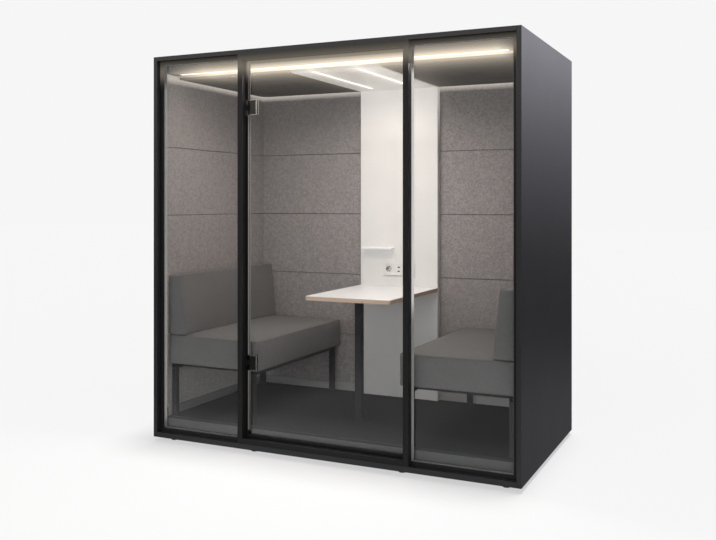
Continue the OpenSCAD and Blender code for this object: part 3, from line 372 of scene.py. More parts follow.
def doorEdgeFinish():
    # black powder coat with a pale stripe on the hinge side that fades towards the top; the stripe carries
    # a painted glow rising with height, and the frame's painted spill near the top
    chosen = powderSets["frame_profile"]
    material, point = startFinish("doorEdgeCoat")
    color, rough, grain = powderLook(point, chosen)
    left, right = stripeSet["sides"]
    soft = stripeSet["soft"]
    across = axis(point, "X")
    up = axis(point, "Z")
    paleStripe = spread(across, left, left + soft) * spread(across, right, right + soft, 1.0, 0.0)
    paleStripe = paleStripe * spread(up, *stripeSet["foot"]) * spread(up, *stripeSet["fade"])
    # painted glow on the stripe, growing with height
    lit = paleStripe * spread(up, *stripeSet["rise"])
    glow = mixColor(lit, frameSpill(point, stripeSet["top"]), stripeSet["warm"])
    color = mixColor(paleStripe, color, stripeSet["tone"])
    fixed = {"Specular IOR Level": chosen["shine"], **emitted(glow)}
    closeFinish(point, color, rough, grain, powderCoat["bump"], fixed)
    return material


chromeSet = {"face": (0.075, 0.072, 0.069), "litRim": (0.62, 0.61, 0.60), "rough": (0.15, 0.24), "half": 0.044,
             "rimWidth": 0.0040, "soft": 0.0006, "brushed": (900.0, 40.0, 40.0), "bump": (0.03, 0.0002)}


def chromeFinish():
    # dark plates with a painted highlight on the rim: a brighter metal colour along the plates' edges
    low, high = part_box("hinge_clamps")
    material, point = startFinish("darkChrome")
    brushed = noise(stretched(point, chromeSet["brushed"]), 1.0)
    up = axis(point, "Z")
    half = chromeSet["half"]
    off = up.maths("MINIMUM", abs(up - (low.z + half)), abs(up - (high.z - half)))
    litRim = (chromeSet["rimWidth"], chromeSet["rimWidth"] + chromeSet["soft"], 1.0, 0.0)
    ends = spread(half - off, *litRim)
    side = spread(high.x - axis(point, "X"), *litRim)
    color = mixColor(up.maths("MAXIMUM", ends, side), chromeSet["face"], chromeSet["litRim"])
    rough = evened(brushed, *chromeSet["rough"])
    closeFinish(point, color, rough, brushed, chromeSet["bump"], {"Metallic": 1.0})
    return material


zincSet = {"dark": (0.42, 0.43, 0.45), "bright": (0.66, 0.67, 0.69), "spangle": 85.0,
           "spangleRange": (0.0, 0.9), "patch": (40.0, 3.0), "rough": (0.28, 0.45),
           "grain": (300.0, 3.0), "bump": (0.06, 0.0004)}


def zincFinish():
    material, point = startFinish("zincPlate")
    spangle = spread(cells(point, zincSet["spangle"]), *zincSet["spangleRange"])
    color = mixColor(spangle, zincSet["bright"], zincSet["dark"])
    rough = evened(noise(point, *zincSet["patch"]), *zincSet["rough"])
    closeFinish(point, color, rough, noise(point, *zincSet["grain"]), zincSet["bump"], {"Metallic": 1.0})
    return material


timberSet = {"pale": (0.60, 0.44, 0.27), "dark": (0.40, 0.26, 0.14), "grainStretch": (2.0, 45.0, 45.0),
             "grain": (1.0, 5.0, 0.6), "ringStretch": (0.6, 9.0, 9.0), "rings": (1.0, 2.0),
             "ringRange": (0.35, 0.65), "shares": (0.6, 0.4), "toneRange": (0.3, 0.75),
             "rough": (0.55, 0.75), "bump": (0.25, 0.0008)}


def timberFinish():
    material, point = startFinish("sawnTimber")
    grain = noise(stretched(point, timberSet["grainStretch"]), *timberSet["grain"])
    rings = noise(stretched(point, timberSet["ringStretch"]), *timberSet["rings"])
    tone = blend((grain, spread(rings, *timberSet["ringRange"])), timberSet["shares"])
    color = mixColor(spread(tone, *timberSet["toneRange"]), timberSet["pale"], timberSet["dark"])
    closeFinish(point, color, evened(grain, *timberSet["rough"]), grain, timberSet["bump"])
    return material


carpetSet = {"deep": (0.014, 0.014, 0.015), "tip": (0.042, 0.042, 0.044), "loops": 260.0,
             "loopTone": (0.05, 0.75, 1.0, 0.1), "loopHeight": (0.0, 0.8, 1.0, 0.0), "yarn": (900.0, 2.0),
             "yarnTone": (0.2, 0.8, 0.7, 1.1), "yarnHeight": 0.25, "cloud": (24.0, 4.0),
             "cloudTone": (0.25, 0.75, 0.7, 1.15), "rough": 0.95, "shine": 0.1, "bump": (0.7, 0.003)}


def carpetFinish():
    material, point = startFinish("loopPile")
    loops = cells(point, carpetSet["loops"])
    yarn = noise(point, *carpetSet["yarn"])
    cloud = noise(point, *carpetSet["cloud"])
    tone = spread(loops, *carpetSet["loopTone"]) * spread(cloud, *carpetSet["cloudTone"])
    color = mixColor(tone * spread(yarn, *carpetSet["yarnTone"]), carpetSet["deep"], carpetSet["tip"])
    height = spread(loops, *carpetSet["loopHeight"]) + yarn * carpetSet["yarnHeight"]
    fixed = {"Specular IOR Level": carpetSet["shine"]}
    closeFinish(point, color, carpetSet["rough"], height, carpetSet["bump"], fixed)
    return material


boardSet = {"speck": (700.0, 2.0), "cloud": (9.0, 4.0), "shares": (0.5, 0.5), "shine": 0.3,
            "bump": (0.12, 0.0005)}
greyBoardSets = {
    "riser_board": {"deep": (0.082, 0.082, 0.085), "light": (0.104, 0.104, 0.107), "rough": (0.50, 0.62)},
    "skirting_board": {"deep": (0.29, 0.288, 0.28), "light": (0.345, 0.343, 0.335), "rough": (0.45, 0.58)},
    "dark_board": {"deep": (0.016, 0.016, 0.016), "light": (0.034, 0.033, 0.031), "rough": (0.60, 0.80)},
}
riserTopBand = {"depth": (0.012, 0.013, 1.0, 0.0), "tone": (0.012, 0.012, 0.012)}
skirtingGlow = {"sides": (0.42, 0.50), "level": 0.045, "tone": (1.0, 1.0, 1.0)}


def boardLook(point, deep, light):
    speck = noise(point, *boardSet["speck"])
    cloud = noise(point, *boardSet["cloud"])
    color = mixColor(evened(blend((speck, cloud), boardSet["shares"])), deep, light)
    return color, speck, cloud


def greyBoardFinish(slotName):
    chosen = greyBoardSets[slotName]
    material, point = startFinish(slotName + "Face")
    color, speck, cloud = boardLook(point, chosen["deep"], chosen["light"])
    fixed = {"Specular IOR Level": boardSet["shine"]}
    if slotName == "riser_board":  # darker along its upper edge
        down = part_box("floor_riser")[1].z - axis(point, "Z")
        color = mixColor(spread(down, *riserTopBand["depth"]), color, riserTopBand["tone"])
    if slotName == "skirting_board":  # the light column brightens it on the right
        lit = spread(axis(point, "X"), *skirtingGlow["sides"]) * skirtingGlow["level"]
        fixed.update(emitted(tinted(lit, skirtingGlow["tone"])))
    closeFinish(point, color, evened(cloud, *chosen["rough"]), speck, boardSet["bump"], fixed)
    return material


glowSet = {
    "strip": (0.0, -0.465, 2.165),
    "acrossStrip": (0.0, 1.0, 1.0),
    "leftEnd": (-1.05, -0.80, 0.15, 1.0),
    "rightEnd": (0.96, 1.05, 1.0, 0.25),
    "near": (0.030, 0.75),
    "wide": (0.160, 0.55),
    "besideFrom": 0.19,
    "beside": (0.09, 0.20),
    "upward": (0.026, 0.96),
    "rough": (0.55, 0.68),
}


def stripGlow(point):
    # light of the front strip by the distance from it, and of the bars beside the board
    away = distance(stretched(point, glowSet["acrossStrip"]), glowSet["strip"])
    beside = abs(axis(point, "X")) - glowSet["besideFrom"]
    near = fadingSoon(away, *glowSet["near"])
    return near + fading(beside, *glowSet["beside"]) + fading(away, *glowSet["wide"])


def stripRise(point):
    # light of the front strip on the soffit and its upstand
    rise = axis(point, "Z") - glowSet["strip"][2]
    return fading(rise.maths("MAXIMUM", rise, 0.0), *glowSet["upward"])


panelTones = {"deep": (0.011, 0.0106, 0.0100), "light": (0.018, 0.0174, 0.0164), "shine": 0.08, "gain": 1.0,
              "warm": (1.0, 0.855, 0.665)}
litSets = {
    "ceilingFace": {**panelTones, "glow": stripGlow},
    "soffitFace": {**panelTones, "glow": stripRise},
    "battenFace": {"deep": timberSet["dark"], "light": timberSet["pale"], "shine": 0.3, "gain": 1.25,
                   "warm": (1.0, 0.93, 0.85), "glow": stripGlow},
}


def litFinish(name):
    # a board with the front strip's light washing over it
    chosen = litSets[name]
    material, point = startFinish(name)
    color, speck, cloud = boardLook(point, chosen["deep"], chosen["light"])
    side = axis(point, "X")
    ends = spread(side, *glowSet["leftEnd"]) * spread(side, *glowSet["rightEnd"])
    lit = tinted(chosen["glow"](point) * ends * chosen["gain"], chosen["warm"])
    fixed = {"Specular IOR Level": chosen["shine"], **emitted(lit)}
    closeFinish(point, color, evened(cloud, *glowSet["rough"]), speck, boardSet["bump"], fixed)
    return material


glassSet = {"tint": (0.962, 0.966, 0.965), "ior": 1.45, "mirror": (1.0, 1.0, 1.0), "rough": 0.015,
            "most": 0.22, "film": (3.0, 4.0), "filmLevel": (0.97, 1.0)}


def glassFinish():
    material, point = startFinish("clearGlass")
    film = evened(noise(point, *glassSet["film"]), *glassSet["filmLevel"])
    clear = point.node("ShaderNodeBsdfTransparent", {}, {"Color": glassSet["tint"]})
    mirror = {"Color": glassSet["mirror"], "Roughness": glassSet["rough"]}
    shine = point.node("ShaderNodeBsdfGlossy", {}, mirror)
    edge = point.node("ShaderNodeFresnel", {}, {"IOR": glassSet["ior"]}) * film
    edge = edge.maths("MINIMUM", edge, glassSet["most"])  # a thin pane shows no total reflection
    shown = point.node("ShaderNodeMixShader", {}, {0: edge, 1: clear, 2: shine})
    point.node("ShaderNodeOutputMaterial", {}, {"Surface": shown})
    return material


rubberSets = {
    "seal_rubber": {"deep": (0.012, 0.012, 0.012), "light": (0.024, 0.024, 0.024), "rough": (0.60, 0.78)},
    "gasket_rubber": {"deep": (0.27, 0.275, 0.27), "light": (0.34, 0.345, 0.34), "rough": (0.40, 0.55)},
}
rubberGrain = {"bloom": (130.0, 4.0), "skin": (1200.0, 3.0), "bump": (0.1, 0.0003)}
gasketGlow = {"left": 0.12, "right": (0.80, 0.90, 0.05, 0.40), "foot": (0.10, 0.14),
              "top": (2.06, 2.10, 1.0, 0.0), "sides": (-0.6, 0.4), "end": (0.6, 0.8, 1.0, 0.05),
              "warm": (1.0, 0.94, 0.88)}


def gasketLight(point):
    # the clear strips carry the cabin's light
    up = axis(point, "Z")
    side = axis(point, "X")
    right = spread(up, *gasketGlow["right"]) * spread(side, *gasketGlow["end"])
    across = spread(side, *gasketGlow["sides"])
    level = right * across + (1.0 - across) * gasketGlow["left"]
    level = level * spread(up, *gasketGlow["foot"]) * spread(up, *gasketGlow["top"])
    return tinted(level, gasketGlow["warm"])


def rubberFinish(slotName):
    chosen = rubberSets[slotName]
    material, point = startFinish(slotName + "Strip")
    bloom = noise(point, *rubberGrain["bloom"])
    color = mixColor(evened(bloom), chosen["deep"], chosen["light"])
    fixed = emitted(gasketLight(point)) if slotName == "gasket_rubber" else None
    skin = noise(point, *rubberGrain["skin"])
    closeFinish(point, color, evened(bloom, *chosen["rough"]), skin, rubberGrain["bump"], fixed)
    return material


bounceSet = {"sides": (0.93, 1.0), "top": (0.36, 0.44, 0.042, 0.0), "warm": (1.0, 0.97, 0.95)}


def benchBounce(point):
    # light that the carpet throws back under the benches
    return spread(abs(axis(point, "X")), *bounceSet["sides"]) * spread(axis(point, "Z"), *bounceSet["top"])


feltSet = {
    "tones": [(0.15, (0.222, 0.206, 0.204)), (0.5, (0.274, 0.254, 0.252)), (0.85, (0.328, 0.305, 0.302))],
    "toneRange": (0.38, 0.62),
    "acrossStretch": (1.0, 1.0, 0.22),
    "across": (520.0, 3.0, 0.65),
    "alongStretch": (0.25, 0.25, 1.0),
    "along": (460.0, 3.0, 0.65),
    "clump": (110.0, 2.0),
    "cloud": (34.0, 2.0),
    "toneShares": (0.2, 0.2, 0.44, 0.16),
    "heightShares": (0.5, 0.5, 0.4),
    "ceiling": 2.143,
    "coveLine": (0.004, 0.036, 0.39, 0.0),
    "coveLight": (1.0, 0.91, 0.80),
    "rough": 0.92,
    "bump": (0.35, 0.0015),
    "sheen": {"Specular IOR Level": 0.15, "Sheen Weight": 0.12, "Sheen Roughness": 0.6},
}


def feltFinish():
    material, point = startFinish("pressedFelt")
    across = noise(stretched(point, feltSet["acrossStretch"]), *feltSet["across"])
    along = noise(stretched(point, feltSet["alongStretch"]), *feltSet["along"])
    clump = noise(point, *feltSet["clump"])
    cloud = noise(point, *feltSet["cloud"])
    tone = spread(blend((across, along, clump, cloud), feltSet["toneShares"]), *feltSet["toneRange"])
    color = tone.node("ShaderNodeValToRGB", {"stops": feltSet["tones"]}, {0: tone})
    under = feltSet["ceiling"] - axis(point, "Z")
    glow = tinted(spread(under, *feltSet["coveLine"]), feltSet["coveLight"])
    glow = mixColor(benchBounce(point), glow, bounceSet["warm"])
    height = blend((across, along, clump), feltSet["heightShares"])
    fixed = {**feltSet["sheen"], **emitted(glow)}
    closeFinish(point, color, feltSet["rough"], height, feltSet["bump"], fixed)
    return material


coreSet = {"deep": (0.045, 0.045, 0.048), "light": (0.115, 0.112, 0.110), "stretch": (1.0, 1.0, 0.3),
           "fibre": (330.0, 4.0, 0.7), "rough": 0.95, "shine": 0.1, "bump": (0.4, 0.002)}


def coreFinish():
    material, point = startFinish("fibreCore")
    fibre = noise(stretched(point, coreSet["stretch"]), *coreSet["fibre"])
    color = mixColor(evened(fibre), coreSet["deep"], coreSet["light"])
    fixed = {"Specular IOR Level": coreSet["shine"]}
    closeFinish(point, color, coreSet["rough"], fibre, coreSet["bump"], fixed)
    return material


whiteSets = {
    "white_board": {"deep": (0.745, 0.737, 0.723), "light": (0.790, 0.782, 0.768), "rough": (0.34, 0.44),
                    "bump": (0.05, 0.0004)},
    "white_plastic": {"deep": (0.74, 0.735, 0.715), "light": (0.79, 0.785, 0.765), "rough": (0.22, 0.30),
                      "bump": (0.05, 0.0004)},
    "white_laminate": {"deep": (0.860, 0.882, 0.892), "light": (0.884, 0.906, 0.916), "rough": (0.30, 0.36),
                       "bump": (0.004, 0.0004)},
}
whiteGrain = {"cloud": (5.0, 4.0), "patch": (18.0, 3.0), "peel": (520.0, 2.0)}


def whiteLook(point, chosen):
    color = mixColor(evened(noise(point, *whiteGrain["cloud"])), chosen["deep"], chosen["light"])
    rough = evened(noise(point, *whiteGrain["patch"]), *chosen["rough"])
    return color, rough, noise(point, *whiteGrain["peel"])


def whiteFinish(slotName):
    chosen = whiteSets[slotName]
    material, point = startFinish(slotName + "Face")
    closeFinish(point, *whiteLook(point, chosen), chosen["bump"])
    return material


columnGlow = {"top": (1.78, 2.03, 0.0, 0.31), "warm": (1.0, 0.95, 0.88), "shelf": 0.10,
              "shelfReach": (0.075, 0.01, 0.004), "shade": 0.72, "shadeReach": (0.009, 0.004),
              "soft": 0.002}


def within(value, low, high):
    soft = columnGlow["soft"]
    return spread(value, low, low + soft) * spread(value, high - soft, high, 1.0, 0.0)


def columnFinish():
    # the white column: painted light at the top for the bars, painted light under the shelf for what the
    # table throws back, and a painted shadow under the socket frame
    chosen = whiteSets["white_board"]
    material, point = startFinish("columnFace")
    color, rough, peel = whiteLook(point, chosen)
    up = axis(point, "Z")
    across = axis(point, "X")
    # a painted shadow along the socket frame's lower edge
    low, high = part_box("socket_frame")
    below, above = columnGlow["shadeReach"]
    shade = within(across, low.x, high.x) * within(up, low.z - below, low.z + above)
    color = mixColor(shade, color, tuple(part * columnGlow["shade"] for part in chosen["deep"]))
    low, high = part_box("column_shelf")
    foot, below, above = columnGlow["shelfReach"]
    bounced = within(across, low.x, high.x) * spread(up, low.z - foot, low.z - below)
    bounced = bounced * spread(up, low.z, low.z + above, 1.0, 0.0)
    lit = spread(up, *columnGlow["top"]) + bounced * columnGlow["shelf"]
    closeFinish(point, color, rough, peel, chosen["bump"], emitted(tinted(lit, columnGlow["warm"])))
    return material


panelGlow = {"front": -0.43, "near": (0.24, 0.26), "even": 0.15, "warm": (1.0, 0.93, 0.80),
             "edge": (0.28, 0.26, 0.24), "shadedFaceDepth": (0.0008, 0.0014, 1.0, 0.0),
             "bars": (0.138, -0.06, 0.35), "halo": (0.030, 0.48)}


def litWhiteFinish():
    # the white centre board, washed by the strips beside and before it, with its front face painted dark as
    # shade
    chosen = whiteSets["white_board"]
    material, point = startFinish("centreBoardFace")
    color, rough, peel = whiteLook(point, chosen)
    away = axis(point, "Y") - panelGlow["front"]
    # its front face is painted dark, as shade
    color = mixColor(spread(away, *panelGlow["shadedFaceDepth"]), color, panelGlow["edge"])
    barX, barY, barHalf = panelGlow["bars"]
    across = abs(abs(axis(point, "X")) - barX)
    along = abs(axis(point, "Y") - barY) - barHalf
    along = along.maths("MAXIMUM", along, 0.0)
    off = (across * across + along * along) ** 0.5
    wash = fading(away, *panelGlow["near"]) + panelGlow["even"] + fading(off, *panelGlow["halo"])
    closeFinish(point, color, rough, peel, chosen["bump"], emitted(tinted(wash, panelGlow["warm"])))
    return material


wellSets = {
    "power_socket": {"well": (0.5024, 0.5040), "shade": (0.66, 0.66, 0.655), "holes": (0.5187, 0.5192),
                     "dots": [(-0.0095, 0.0), (0.0095, 0.0), (0.0, 0.0135), (0.0, -0.0135)], "shadeDot": 0.0036,
                     "flat": 1.0, "crescent": (-0.012, -0.004, 1.0, 0.0)},
    "usb_socket": {"well": (0.5024, 0.5030), "shade": (0.02, 0.02, 0.02), "holes": (0.5100, 0.5110),
                   "dots": [(0.0, 0.013), (0.0, -0.013)], "shadeDot": 0.0085, "flat": 1.9},
}
wellTones = {"crescent": (0.47, 0.465, 0.46), "shadeDot": (0.03, 0.03, 0.03), "hole": (0.008, 0.008, 0.008),
             "soft": 0.0008}


def insertFinish(name):
    # a white socket insert with painted shade: darker inside its well, dark dots at its contacts and ports,
    # and black in its holes
    chosen = whiteSets["white_plastic"]
    wells = wellSets[name]
    material, point = startFinish(name + "Insert")
    color, rough, peel = whiteLook(point, chosen)
    deep = axis(point, "Y")
    low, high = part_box(name)
    middle = (low + high) / 2
    inWell = spread(deep, *wells["well"])
    color = mixColor(inWell, color, wells["shade"])
    if "crescent" in wells:  # the well's left side lies in shade
        inward = axis(point, "X") - middle.x
        color = mixColor(inWell * spread(inward, *wells["crescent"]), color, wellTones["crescent"])
    flat = wells["flat"]
    reach = (wells["shadeDot"], wells["shadeDot"] + wellTones["soft"], 1.0, 0.0)
    for offX, offZ in wells["dots"]:  # painted shade at the contacts and ports
        centre = (middle.x + offX, 0.0, (middle.z + offZ) * flat)
        off = distance(stretched(point, (1.0, 0.0, flat)), centre)
        color = mixColor(spread(off, *reach), color, wellTones["shadeDot"])
    color = mixColor(spread(deep, *wells["holes"]), color, wellTones["hole"])
    closeFinish(point, color, rough, peel, chosen["bump"])
    return material


plasticSets = {
    "grey_plastic": {"deep": (0.17, 0.17, 0.17), "light": (0.22, 0.22, 0.22)},
    "black_plastic": {"deep": (0.012, 0.012, 0.013), "light": (0.026, 0.026, 0.028)},
}
plasticGrain = {"cells": 900.0, "cloud": (45.0, 3.0), "rough": (0.1, 0.8, 0.48, 0.62),
                "bump": (0.15, 0.0004)}


def plasticFinish(slotName):
    chosen = plasticSets[slotName]
    material, point = startFinish(slotName + "Mould")
    grain = cells(point, plasticGrain["cells"])
    color = mixColor(evened(noise(point, *plasticGrain["cloud"])), chosen["deep"], chosen["light"])
    closeFinish(point, color, spread(grain, *plasticGrain["rough"]), grain, plasticGrain["bump"])
    return material


channelSet = {"dark": (0.50, 0.50, 0.51), "bright": (0.68, 0.68, 0.69), "lit": (0.95, 0.86, 0.72),
              "mouth": (2.168, 2.174, 1.0, 0.0), "brushed": (3.0, 900.0, 900.0), "rough": (0.3, 0.45),
              "bump": (0.05, 0.0003)}


def channelFinish():
    material, point = startFinish("anodisedChannel")
    brushed = noise(stretched(point, channelSet["brushed"]), 1.0)
    color = mixColor(evened(brushed), channelSet["dark"], channelSet["bright"])
    # the channel's mouth carries a painted glow from the strip
    litRim = spread(axis(point, "Z"), *channelSet["mouth"])
    fixed = {"Metallic": 1.0, **emitted(tinted(litRim, channelSet["lit"]))}
    closeFinish(point, color, evened(brushed, *channelSet["rough"]), brushed, channelSet["bump"], fixed)
    return material


diffuserSet = {"cool": (1.0, 0.89, 0.83), "warm": (1.0, 0.865, 0.79), "strength": 1.7, "patch": (30.0, 3.0),
               "deep": (0.80, 0.79, 0.75), "light": (0.88, 0.87, 0.84), "frost": (240.0, 2.0),
               "rough": (0.42, 0.55), "bump": (0.05, 0.0003)}


def lampFinish():
    material, point = startFinish("litDiffuser")
    frost = noise(point, *diffuserSet["frost"])
    color = mixColor(evened(frost), diffuserSet["deep"], diffuserSet["light"])
    glow = mixColor(evened(noise(point, *diffuserSet["patch"])), diffuserSet["warm"], diffuserSet["cool"])
    fixed = emitted(glow, diffuserSet["strength"])
    closeFinish(point, color, evened(frost, *diffuserSet["rough"]), frost, diffuserSet["bump"], fixed)
    return material


plySet = {
    "pale": (0.70, 0.56, 0.44),
    "dark": (0.46, 0.32, 0.22),
    "ply": 0.0031,
    "base": 0.833,
    "wanderStretch": (18.0, 18.0, 120.0),
    "wander": 0.0006,
    "bandRange": (-0.35, 0.55),
    "grainStretch": (5.0, 130.0, 130.0),
    "grain": (1.0, 5.0, 0.65),
    "poreStretch": (60.0, 700.0, 700.0),
    "pores": (1.0, 2.0),
    "toneShares": (0.62, 0.30, 0.14),
    "toneRange": (0.15, 0.95),
    "heightShares": (0.4, 0.6),
    "rough": (0.42, 0.60),
    "bump": (0.15, 0.0006),
}


def plyFinish():
    material, point = startFinish("plyEdge")
    wander = noise(stretched(point, plySet["wanderStretch"]), 1.0) * plySet["wander"]
    layer = (axis(point, "Z") - plySet["base"] + wander) * (2.0 * pi / plySet["ply"])
    band = spread(layer.maths("SINE", layer), *plySet["bandRange"])
    grain = noise(stretched(point, plySet["grainStretch"]), *plySet["grain"])
    pores = noise(stretched(point, plySet["poreStretch"]), *plySet["pores"])
    tone = spread(blend((band, grain, pores), plySet["toneShares"]), *plySet["toneRange"])
    color = mixColor(tone, plySet["pale"], plySet["dark"])
    height = blend((grain, band), plySet["heightShares"])
    closeFinish(point, color, evened(grain, *plySet["rough"]), height, plySet["bump"])
    return material


fabricSet = {
    "deep": (0.098, 0.096, 0.096),
    "mid": (0.152, 0.149, 0.148),
    "fleck": (0.225, 0.221, 0.218),
    "thread": 0.0026,
    "melangeStretch": (1.0, 0.45, 1.0),
    "melange": (430.0, 3.0, 0.65),
    "melangeRange": (0.32, 0.6),
    "cloud": (6.0, 4.0),
    "cloudShare": 0.2,
    "fleckRange": (0.62, 0.85),
    "heightShares": (0.5, 0.8),
    "rough": 0.9,
    "bump": (0.4, 0.0009),
    "sheen": {"Specular IOR Level": 0.15, "Sheen Weight": 0.22, "Sheen Roughness": 0.5},
}


def fabricFinish():
    material, point = startFinish("woolWeave")
    woven = point.node("ShaderNodeUVMap", {"uv_map": "cloth"}, {}, out="UV")
    across = axis(woven, "X") * (2.0 * pi / fabricSet["thread"])
    along = axis(woven, "Y") * (2.0 * pi / fabricSet["thread"])
    weave = across.maths("SINE", across) * along.maths("SINE", along)
    melange = noise(stretched(point, fabricSet["melangeStretch"]), *fabricSet["melange"])
    flecks = melange + noise(point, *fabricSet["cloud"]) * fabricSet["cloudShare"]
    color = mixColor(spread(melange, *fabricSet["melangeRange"]), fabricSet["deep"], fabricSet["mid"])
    color = mixColor(spread(flecks, *fabricSet["fleckRange"]), color, fabricSet["fleck"])
    height = blend((weave, melange), fabricSet["heightShares"])
    closeFinish(point, color, fabricSet["rough"], height, fabricSet["bump"], fabricSet["sheen"])
    return material


finishes = {
    "shell_board": lacquerFinish(),
    "zinc_steel": zincFinish(),
    "timber": timberFinish(),
    "carpet_pile": carpetFinish(),
    "dark_panel": litFinish("ceilingFace"),
    "clear_glass": glassFinish(),
    "wall_core": coreFinish(),
    "wall_felt": feltFinish(),
    "light_housing": channelFinish(),
    "lit_diffuser": lampFinish(),
    "plywood": plyFinish(),
    "seat_fabric": fabricFinish(),
}
finishGroups = [(powderSets, powderFinish), (greyBoardSets, greyBoardFinish), (rubberSets, rubberFinish),
                (whiteSets, whiteFinish), (plasticSets, plasticFinish)]
for sets, makeFinish in finishGroups:
    for slotName in sets:
        finishes[slotName] = makeFinish(slotName)
slotOf = {part["node"]: part["material_slot"] for part in frame["record"]["subparts"]}
finishOf = {name: finishes[slotName] for name, slotName in slotOf.items()}
finishOf.update({
    "hinge_clamps": chromeFinish(),
    "hinge_brackets": finishes["frame_profile"],
    "door_edge_profile": doorEdgeFinish(),
    "column_panel": columnFinish(),
    "power_socket": insertFinish("power_socket"),
    "usb_socket": insertFinish("usb_socket"),
    "centre_ceiling_panel": litWhiteFinish(),
    "front_soffit": litFinish("soffitFace"),
    "ceiling_battens": litFinish("battenFace"),
})
for name, material in finishOf.items():
    nodes[name].material_slots[0].material = material
print("finishes laid on", len(finishOf), "nodes")

# Lamps: the light that the diffusers give off
lampTint = (1.0, 0.89, 0.835)
lampSets = {
    "frontLamp": {"place": (0.06, -0.465, 2.136), "size": (1.55, 0.020), "watts": 11.3,
                  "opening": 166.0},
    "leftBarLamp": {"place": (-0.138, -0.06, 2.134), "size": (0.016, 0.70), "watts": 1.90,
                    "opening": 155.0},
    "rightBarLamp": {"place": (0.138, -0.06, 2.134), "size": (0.016, 0.70), "watts": 1.90,
                     "opening": 155.0},
}


def hangLamp(name, chosen):
    light = bpy.data.lights.new(name, "AREA")
    light.shape = "RECTANGLE"
    light.size, light.size_y = chosen["size"]
    light.energy = chosen["watts"]
    light.color = lampTint
    light.spread = radians(chosen["opening"])
    lamp = bpy.data.objects.new(name, light)
    lamp.location = chosen["place"]
    lamp.visible_camera = False
    scene.collection.objects.link(lamp)


for name, chosen in lampSets.items():
    hangLamp(name, chosen)
print("lamps hung:", len(lampSets))

# Edges broken as a maker leaves them, in metres
edgeSet = {
    "left_wall_felt": 0.0022,
    "right_wall_felt": 0.0022,
    "skirting": 0.0012,
    "column_panel": 0.0012,
    "column_shelf": 0.0020,
    "centre_ceiling_panel": 0.0012,
    "side_ceiling_panels": 0.0012,
    "front_soffit": 0.0010,
    "left_post": 0.0010,
    "right_post": 0.0010,
    "door_header": 0.0010,
    "door_threshold": 0.0010,
    "glazing_profiles": 0.0008,
    "door_edge_profile": 0.0008,
    "hinge_clamps": 0.0012,
    "table_board": 0.0010,
    "table_leg": 0.0015,
    "bench_frames": 0.0015,
    "socket_frame": 0.0015,
    "control_plate": 0.0008,
    "light_button": 0.0008,
    "fan_button": 0.0008,
    "floor_riser": 0.0008,
}
edgeRules = {"weld": 1e-6, "flatDegrees": 0.5, "sharpDegrees": 35, "segments": 2, "profile": 0.5}
bodyOf = {name: body for body, names in frame["record"]["behaviour"]["bodies"].items() for name in names}


def breakEdges(name, width):
    flat = radians(edgeRules["flatDegrees"])
    steep = radians(edgeRules["sharpDegrees"])
    bm = bmesh.new()
    bm.from_mesh(nodes[name].data)
    bmesh.ops.remove_doubles(bm, verts=bm.verts, dist=edgeRules["weld"])
    bmesh.ops.dissolve_limit(bm, angle_limit=flat, verts=bm.verts, edges=bm.edges)
    sharp = [edge for edge in bm.edges if edge.is_manifold and edge.calc_face_angle(0.0) > steep]
    bmesh.ops.bevel(bm, geom=sharp, offset=width, affect="EDGES", segments=edgeRules["segments"],
                    profile=edgeRules["profile"], material=-1, clamp_overlap=True)
    piece = addPiece(name + "Eased", bm)
    piece.data.materials.append(finishOf[name])
    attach(piece, bodyOf[name])
    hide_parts(name)


for name, width in edgeSet.items():
    breakEdges(name, width)
print("edges eased on", len(edgeSet), "nodes")

# Seat and back cushions: a sewn box filled until its panels crown, with piped seams
cushionSet = {
    "voxel": 0.008,
    "edge": 0.010,
    "edgeSegments": 4,
    "edgeProfile": 0.5,
    "crown": 0.003,
    "draw": 0.003,
    "held": 0.010,
    "footHeld": 0.004,
    "frames": 20,
    "pressure": 2.5,
    "cap": 0.008,
    "smooth": 0.5,
    "fill": 0.95,
    "pipe": 0.0021,
    "pipeRound": 2,
    "pipeLift": 0.2,
    "pipeStep": 0.02,
    "cornerSteps": 4,
    "backTop": 0.080,
}
seamInset = cushionSet["edge"] * (1.0 - cos(radians(45)))


def roundedBox(low, high):
    bm = bmesh.new()
    bmesh.ops.create_cube(bm, size=1.0)
    bmesh.ops.scale(bm, vec=high - low, verts=bm.verts)
    bmesh.ops.translate(bm, vec=(low + high) / 2, verts=bm.verts)
    bmesh.ops.bevel(bm, geom=bm.edges[:], offset=cushionSet["edge"], affect="EDGES",
                    segments=cushionSet["edgeSegments"], profile=cushionSet["edgeProfile"],
                    material=-1, clamp_overlap=True)
    return bm


def remeshed(piece):
    net = piece.modifiers.new("net", "REMESH")
    net.mode = "VOXEL"
    net.voxel_size = cushionSet["voxel"]
    dense = bpy.data.meshes.new_from_object(piece.evaluated_get(bpy.context.evaluated_depsgraph_get()))
    piece.modifiers.remove(net)
    piece.data = dense


